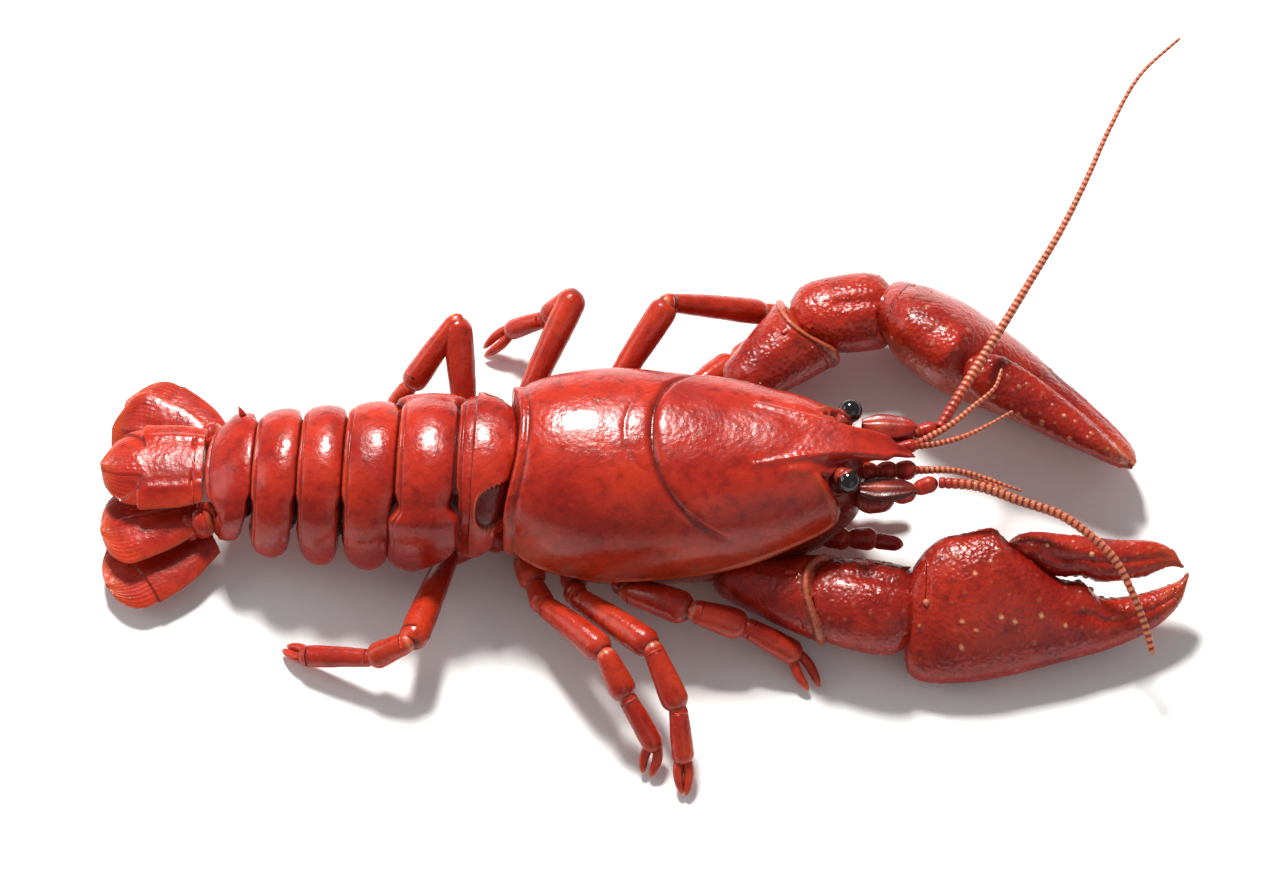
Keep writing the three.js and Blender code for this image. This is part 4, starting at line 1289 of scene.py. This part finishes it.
def roughen_claw(form, plane, spots, rng):
    """Low tubercles all over, a few more on the inner margin, and cream ones at the spots."""
    form.fuzz(6, 0.12, 50).fuzz(1.4, 0.04, 51)
    along, across, above = plane.read(form.points)
    low = scatter(form, np.abs(above) < 6, 130, 2.1, rng)
    raise_knobs(form, low, (0.28, 0.45), 0.3, 0.1, rng)
    margin = scatter(form, (across > FINGER_OUTSIDE(along) - 0.7) & (along > 1), 12, 2.4, rng)
    raise_knobs(form, margin, (0.35, 0.5), 0.4, 0.2, rng)
    if spots:
        raise_knobs(form, plane.tops(form, spots), (0.34, 0.46), 0.4, 0.85, rng)
    along, across, above = plane.read(form.points)
    form.tint("warm", 0.4 * ramp(along, 34, 40) + 0.3 * ramp(-above, 1, 5))
    form.tint("dark", 0.35 * ramp(along, 38, 40.5))
    return form.stand_on_floor()


# The radii of the teeth, from the root of the finger to its tip.
PALM_TEETH = (0.42, 0.48, 0.52, 0.48, 0.46, 0.4, 0.38, 0.36, 0.34, 0.3, 0.28)
FINGER_TEETH = (0.36, 0.44, 0.48, 0.42, 0.4, 0.38, 0.36, 0.34, 0.3, 0.28, 0.26)


def add_claw(word, rng):
    """A claw's palm with its fixed finger, and the finger that moves, both with their teeth."""
    arm = ARMS[word]
    plane = ClawPlane(arm)
    is_shut = arm["is_shut"]

    def inner(place):
        open_edge = PALM_INNER(place)
        return np.maximum(open_edge, FINGER_INSIDE(place) - GAP) if is_shut else open_edge

    def palm_half_thickness(place):
        return CLAW_THICKNESS * CLAW_HALF_THICKNESS(place)

    palm = claw_form(
        plane, CLAW_START, CLAW_LENGTH, 230,
        inner, lambda place: -CLAW_OUTER(place), palm_half_thickness, palm_relief,
    )
    finger = claw_form(
        plane, FINGER_START, FINGER_END, 170,
        FINGER_OUTSIDE, FINGER_INSIDE, FINGER_HALF_THICKNESS, finger_relief,
    )
    roughen_claw(palm, plane, [] if is_shut else PALM_TUBERCLES, rng)
    roughen_claw(finger, plane, [] if is_shut else FINGER_TUBERCLES, rng)
    palm_parts = [palm] + teeth(plane, inner, PALM_TEETH, 22.6, 38, -0.3)
    palm_parts += [ball(plane.point(*spot), 0.5, pale=0.35) for spot in JOINT_KNOBS]
    finger_parts = [finger] + teeth(plane, FINGER_INSIDE, FINGER_TEETH, 22.4, 37.6, 0.25)
    if is_shut:
        along, across, above = plane.read(palm.points)
        seam = bell(across - inner(along), 0.35) * ramp(along, 15, 17) * (above > 0)
        palm.tint("pale", 0.25 * seam)
    add_piece(f"claw_palm_{word}", palm_parts, "claw", f"claw_{word}")
    add_piece(f"claw_thumb_{word}", finger_parts, "claw", f"claw_finger_{word}")


ELBOW_RADIUS = 6.3
ARM_HOLLOW = 3.2
ARM_SIDES = 110


def add_arm(word):
    """An arm to the elbow, which widens all the way and ends in a hollow rim with a thin raised band."""
    arm = ARMS[word]
    shoulder, bend, elbow = (np.array(arm[name], float) for name in ("shoulder", "bend", "elbow"))
    shares = shares_with_ends(60, 34, 0.16)
    outline = profile((0, 0.7), (0.06, 0.9), (0.12, 1), (0.85, 1), (0.93, 1.0), (0.98, 0.98), (1, 0.9))

    def section(t, angle):
        radius = (arm["bend_radius"] + (ELBOW_RADIUS - arm["bend_radius"]) * t) * outline(t)
        keel = 0.3 * bell(angle_down(angle) - 0.25, 0.35) * plateau(t, 0.2, 0.6, 0.8, 0.9)
        band = 0.22 * bell(t - 0.95, 0.042) - 0.15 * bell(t - 0.91, 0.02)
        return (radius + band) * 1.05 * np.sin(angle), (radius + band) * 0.95 * np.cos(angle) + keel

    rings = sweep(Route([bend, elbow]), shares, ARM_SIDES, section)
    along = unit(elbow - bend)
    turn = angles(ARM_SIDES)
    rim_shift = arm["rim_slant"] * (1 + np.sin(turn)) - ARM_HOLLOW * np.maximum(np.cos(turn), 0) ** 2
    rings = rings + along * (ramp(shares, 0.6, 1)[:, None] * rim_shift)[..., None]
    rim = 0.2 * bell(shares - 0.96, 0.04)[:, None]
    # The crease before the rim is darkened with painted shade.
    crease = 0.5 * bell(shares - 0.91, 0.015)[:, None]
    thigh = Form.over(rings, pale=rim, dark=crease).fuzz(4, 0.12, 61)
    base = limb(shoulder, between(shoulder, bend, 1.12), 2.4, 2.5)
    thorn_root = between(bend, elbow, 0.62) + UP * ELBOW_RADIUS * 0.8
    thorn = spine(thorn_root, thorn_root + along * 1.8 + UP * 0.5, 0.6)
    add_piece(f"arm_shell_{word}", [thigh, base, thorn], "claw", f"arm_{word}")


def add_wrist(word, rng):
    """The swollen segment before a claw, rough on top, with a channel along it and a thorn at its corner."""
    arm = ARMS[word]
    half_width = profile((0, 3), (0.08, 5), (0.2, 6.2), (0.45, 6.9), (0.76, 6.9), (0.9, 6), (1, 3.6))
    half_height = profile((0, 2.6), (0.08, 4.2), (0.2, 5), (0.5, 5.7), (0.78, 5.6), (0.9, 4.8), (1, 3))
    shares = stretches((0, 0.1, 20), (0.11, 0.7, 66), (0.71, 1, 50))
    girth = arm["wrist_share"]

    def section(t, angle):
        top = np.cos(angle) > 0
        channel = -0.4 * bell(np.sin(angle) - 0.2 * arm["side"], 0.14) * top * ramp(t, 0.25, 0.5)
        return half_width(t) * girth * np.sin(angle), half_height(t) * girth * np.cos(angle) + channel

    form = swept(Route([arm["cuff"], arm["wrist"]]), shares, 150, section)
    form.fuzz(6, 0.15, 71).fuzz(1.4, 0.04, 72)
    low = scatter(form, form.points[:, 2] > 3, 70, 2.0, rng)
    raise_knobs(form, low, (0.28, 0.42), 0.3, 0.12, rng)
    form.tint("warm", 0.3 * ramp(-form.points[:, 2], -5, -1))
    inward = np.array([0.0, arm["side"], 0.0])
    corner = between(arm["cuff"], arm["wrist"], 0.84) - inward * 4.8 * girth + UP * 3.2
    along = unit(np.array(arm["wrist"], float) - arm["cuff"])
    thorn = spine(corner, corner + along * 1.5 - inward * 0.6 + UP * 0.6, 0.6)
    add_piece(f"wrist_shell_{word}", [form, thorn], "claw", f"wrist_{word}")


# ---------------------------------------------------------------- antennae and mouth limbs

FLAGELLUM_RADIUS = 0.82
ANTENNULE_RADIUS = 0.62
ANTENNULE_END_RADIUS = 0.2
ANTENNULE_ROOTS = {"left": 1.5, "right": -1.1}
ANTENNULE_BASE_RADII = {"left": 1.05, "right": 1.5}
WHIP_END_RADIUS = {"left": 0.24, "right": 0.5}
ANTENNA_RING = 0.95
ANTENNULE_RING = 0.75
ANTENNAE = {
    "right": [
        (48.6, -3.5, 20.7), (54, -4, 21), (60.2, -5.5, 19.8), (66, -7.1, 19), (70.3, -9.4, 17.6),
        (74, -12.2, 15.6), (76.8, -16.3, 13), (78.6, -19.7, 10.5), (80, -23.2, 8),
    ],
    "left": [
        (48.6, 6.3, 19.6), (53.6, 16, 20.4), (57.2, 22.7, 21), (61.8, 31.7, 21.4),
        (66.2, 40.5, 21.8), (69.9, 49.4, 22.2), (73.3, 58.5, 22.4), (77.9, 68.3, 22.6), (84, 75.5, 22.6),
    ],
}
ANTENNULES = {
    "right": [
        [(45, -1.2, 20.2), (51.6, -1.3, 20.4), (60.5, -3.7, 19.6)],
        [(45, -1.2, 20), (51, -0.9, 19.6), (58.6, -3, 18.4)],
    ],
    "left": [
        [(45, 2.9, 20.2), (50, 5.6, 21.6), (53.4, 8.8, 22), (56.4, 12, 22.2), (57.4, 15.4, 22)],
        [(45, 2.8, 20.2), (48.4, 3.3, 20.3), (52.3, 4.8, 20.2), (55.9, 7, 20.2), (59.2, 9.4, 20.2)],
    ],
}


def whip(points, start_radius, end_radius, ring_length):
    """A tapering whip of short rings with a nick between each two."""
    route = Route(points)
    rings = int(route.length / ring_length)
    shares = np.linspace(0, 1, rings * 8 + 1)
    phase = (shares * rings) % 1
    from_nick = np.minimum(phase, 1 - phase)
    taper = (start_radius + (end_radius - start_radius) * shares) * (1 - 0.22 * bell(from_nick, 0.13))
    blunt = np.sqrt(np.clip((1 - shares) * route.length / end_radius, 0.02, 1))
    pale = 0.5 * bell(phase - 0.5, 0.28) * ramp(shares, 0, 0.15)
    # The nick between each two rings is darkened with painted shade.
    dark = 0.6 * bell(from_nick, 0.12)
    return tube(route, shares, 16, taper * blunt, pale=pale[:, None], dark=dark[:, None])


def antenna_root_forms(side, word):
    """The three short segments at the root of an antenna, the first one in the head's shade."""
    start = on_side((36.8, 5.2, 17.4), side)
    middle = on_side((42.4, 4.9, 18.8), side)
    end = np.array(ANTENNAE[word][0]) - (0.6, 0, 0.1)
    return [
        limb(start, between(start, middle, 1.02), 2.3, 1.85).tint("dark", 0.5),
        limb(between(start, middle, 0.9), between(middle, end, 0.55), 1.7, 1.45),
        limb(between(middle, end, 0.45), between(middle, end, 1.08), 1.3, 1.1),
    ]


def antennule_forms(word):
    """The short pair of whips beside the beak, on three segments that they share."""
    root = np.array([36.6, ANTENNULE_ROOTS[word], 18.6])
    fork = np.array(ANTENNULES[word][0][0], float)
    stout = ANTENNULE_BASE_RADII[word]
    base = [
        limb(between(root, fork, at), between(root, fork, at + 0.42), stout, stout * 0.9)
        for at in (0, 0.33, 0.64)
    ]
    whips = [
        whip(points, ANTENNULE_RADIUS, ANTENNULE_END_RADIUS, ANTENNULE_RING) for points in ANTENNULES[word]
    ]
    return base + whips


def add_antennae():
    for side, word in SIDES:
        long_whip = whip(ANTENNAE[word], FLAGELLUM_RADIUS, WHIP_END_RADIUS[word], ANTENNA_RING)
        root = antenna_root_forms(side, word)
        add_piece(f"antenna_root_{word}", root, "antenna", f"antenna_base_{word}")
        add_piece(f"antenna_whip_{word}", [long_whip], "antenna", f"antenna_{word}")
        add_piece(f"antennule_whips_{word}", antennule_forms(word), "antenna", f"antennule_{word}")
        add_scale(side, word)


SCALE_SHADOW = {"left": 0.1, "right": 0.75}
SCALE_SIDES = 70


def add_scale(side, word):
    """The leaf over an antenna's root: flat, with a thick outer edge that ends in a thorn."""
    outline = profile((0, 1.1), (0.3, 2), (0.7, 1.7), (0.9, 1.05), (1, 0.15))

    def section(t, angle):
        across = np.sin(angle)
        edge = 0.32 * bell(across + 0.8 * side, 0.28) * (np.cos(angle) > 0)
        keel = 0.45 * bell(across, 0.5) * (np.cos(angle) > 0)
        return outline(t) * across, (0.45 * np.cos(angle) + edge + keel) * (1 - 0.7 * t**4)

    line = [on_side((37.4, 5.3, 20.9), side), on_side((45.4, 5.2, 21.5), side)]
    shares = np.linspace(0, 1, 70)
    across = np.sin(angles(SCALE_SIDES))
    # A painted highlight in the middle of the leaf, and painted shade over the rest and towards its edges.
    shine = bell(across, 0.45) * bell(shares - 0.33, 0.2)[:, None]
    shadow = SCALE_SHADOW[word] * (1 - shine) + 0.35 * np.abs(across) ** 3
    tints = {"pale": 0.14 * shine, "dark": np.clip(shadow, 0, 1)}
    form = swept(Route(line), shares, SCALE_SIDES, section, **tints)
    add_piece(f"antenna_blade_{word}", [form.fuzz(2, 0.06, 81)], "antenna", f"antenna_scale_{word}")


def add_mouth_limbs():
    """The outer mouth limbs: a long base under the head and three beads in front of it."""
    beads = (
        ((24, 3.6, 5), (33, 4.4, 5.4), 1.8, 1.8), ((31.7, 4.3, 5.6), (36.8, 4.4, 5.6), 1.5, 1.7),
        ((35.6, 4.4, 5.8), (40.7, 4.3, 5.7), 1.6, 1.7), ((39.5, 4.3, 5.5), (44.3, 4.7, 5), 1.5, 0.9),
    )
    for side, word in SIDES:
        forms = [limb(on_side(start, side), on_side(end, side), *radii, 0.9) for start, end, *radii in beads]
        add_piece(f"mouth_limb_shell_{word}", forms, "leg", f"mouth_limb_{word}")


# ---------------------------------------------------------------- stage


FLOOR_SIZE_M = 6
FLOOR_COLOUR = (0.9, 0.895, 0.88, 1)
SKY_COLOUR = (0.95, 0.97, 1, 1)
SKY_STRENGTH = 0.3

# Name, place and size in metres, power and colour.
LIGHTS = (
    ("key", (-0.12, 0.42, 0.62), 0.14, 9.4, (1, 0.985, 0.96)),
    ("fill", (0.45, -0.7, 0.5), 0.7, 0.9, (0.96, 0.98, 1)),
    ("edge", (-0.7, 0.1, 0.35), 0.4, 1.2, (1, 1, 1)),
)


def add_floor():
    bpy.ops.mesh.primitive_plane_add(size=FLOOR_SIZE_M)
    floor = bpy.context.object
    floor.name = "floor"
    look = Look("floor")
    look.link(look.span(look.noise(60), 0.3, 0.7, 0.6, 0.7), look.shader.inputs["Roughness"])
    look.set(Base_Color=FLOOR_COLOUR, Specular_IOR_Level=0.2)
    floor.data.materials.append(look.material)


def add_light(name, place, size, power, colour):
    data = bpy.data.lights.new(name, "AREA")
    data.size = size
    data.energy = power
    data.color = colour
    light = bpy.data.objects.new(name, data)
    light.location = place
    aim = Vector(VIEW_TARGET) * MM - light.location
    light.rotation_euler = aim.to_track_quat("-Z", "Y").to_euler()
    bpy.context.collection.objects.link(light)


def add_lights():
    for light in LIGHTS:
        add_light(*light)
    world = bpy.data.worlds.new("studio")
    world.use_nodes = True
    sky = world.node_tree.nodes["Background"]
    sky.inputs["Color"].default_value = SKY_COLOUR
    sky.inputs["Strength"].default_value = SKY_STRENGTH
    bpy.context.scene.world = world
    bpy.context.scene.view_settings.view_transform = "Standard"


def add_crayfish():
    rng = np.random.default_rng(TUBERCLE_SEED)
    add_carapace()
    add_eyes()
    add_tail_fan(add_abdomen())
    add_legs()
    for _, word in SIDES:
        add_arm(word)
        add_wrist(word, rng)
        add_claw(word, rng)
    add_antennae()
    add_mouth_limbs()


add_camera()
add_crayfish()
add_floor()
add_lights()
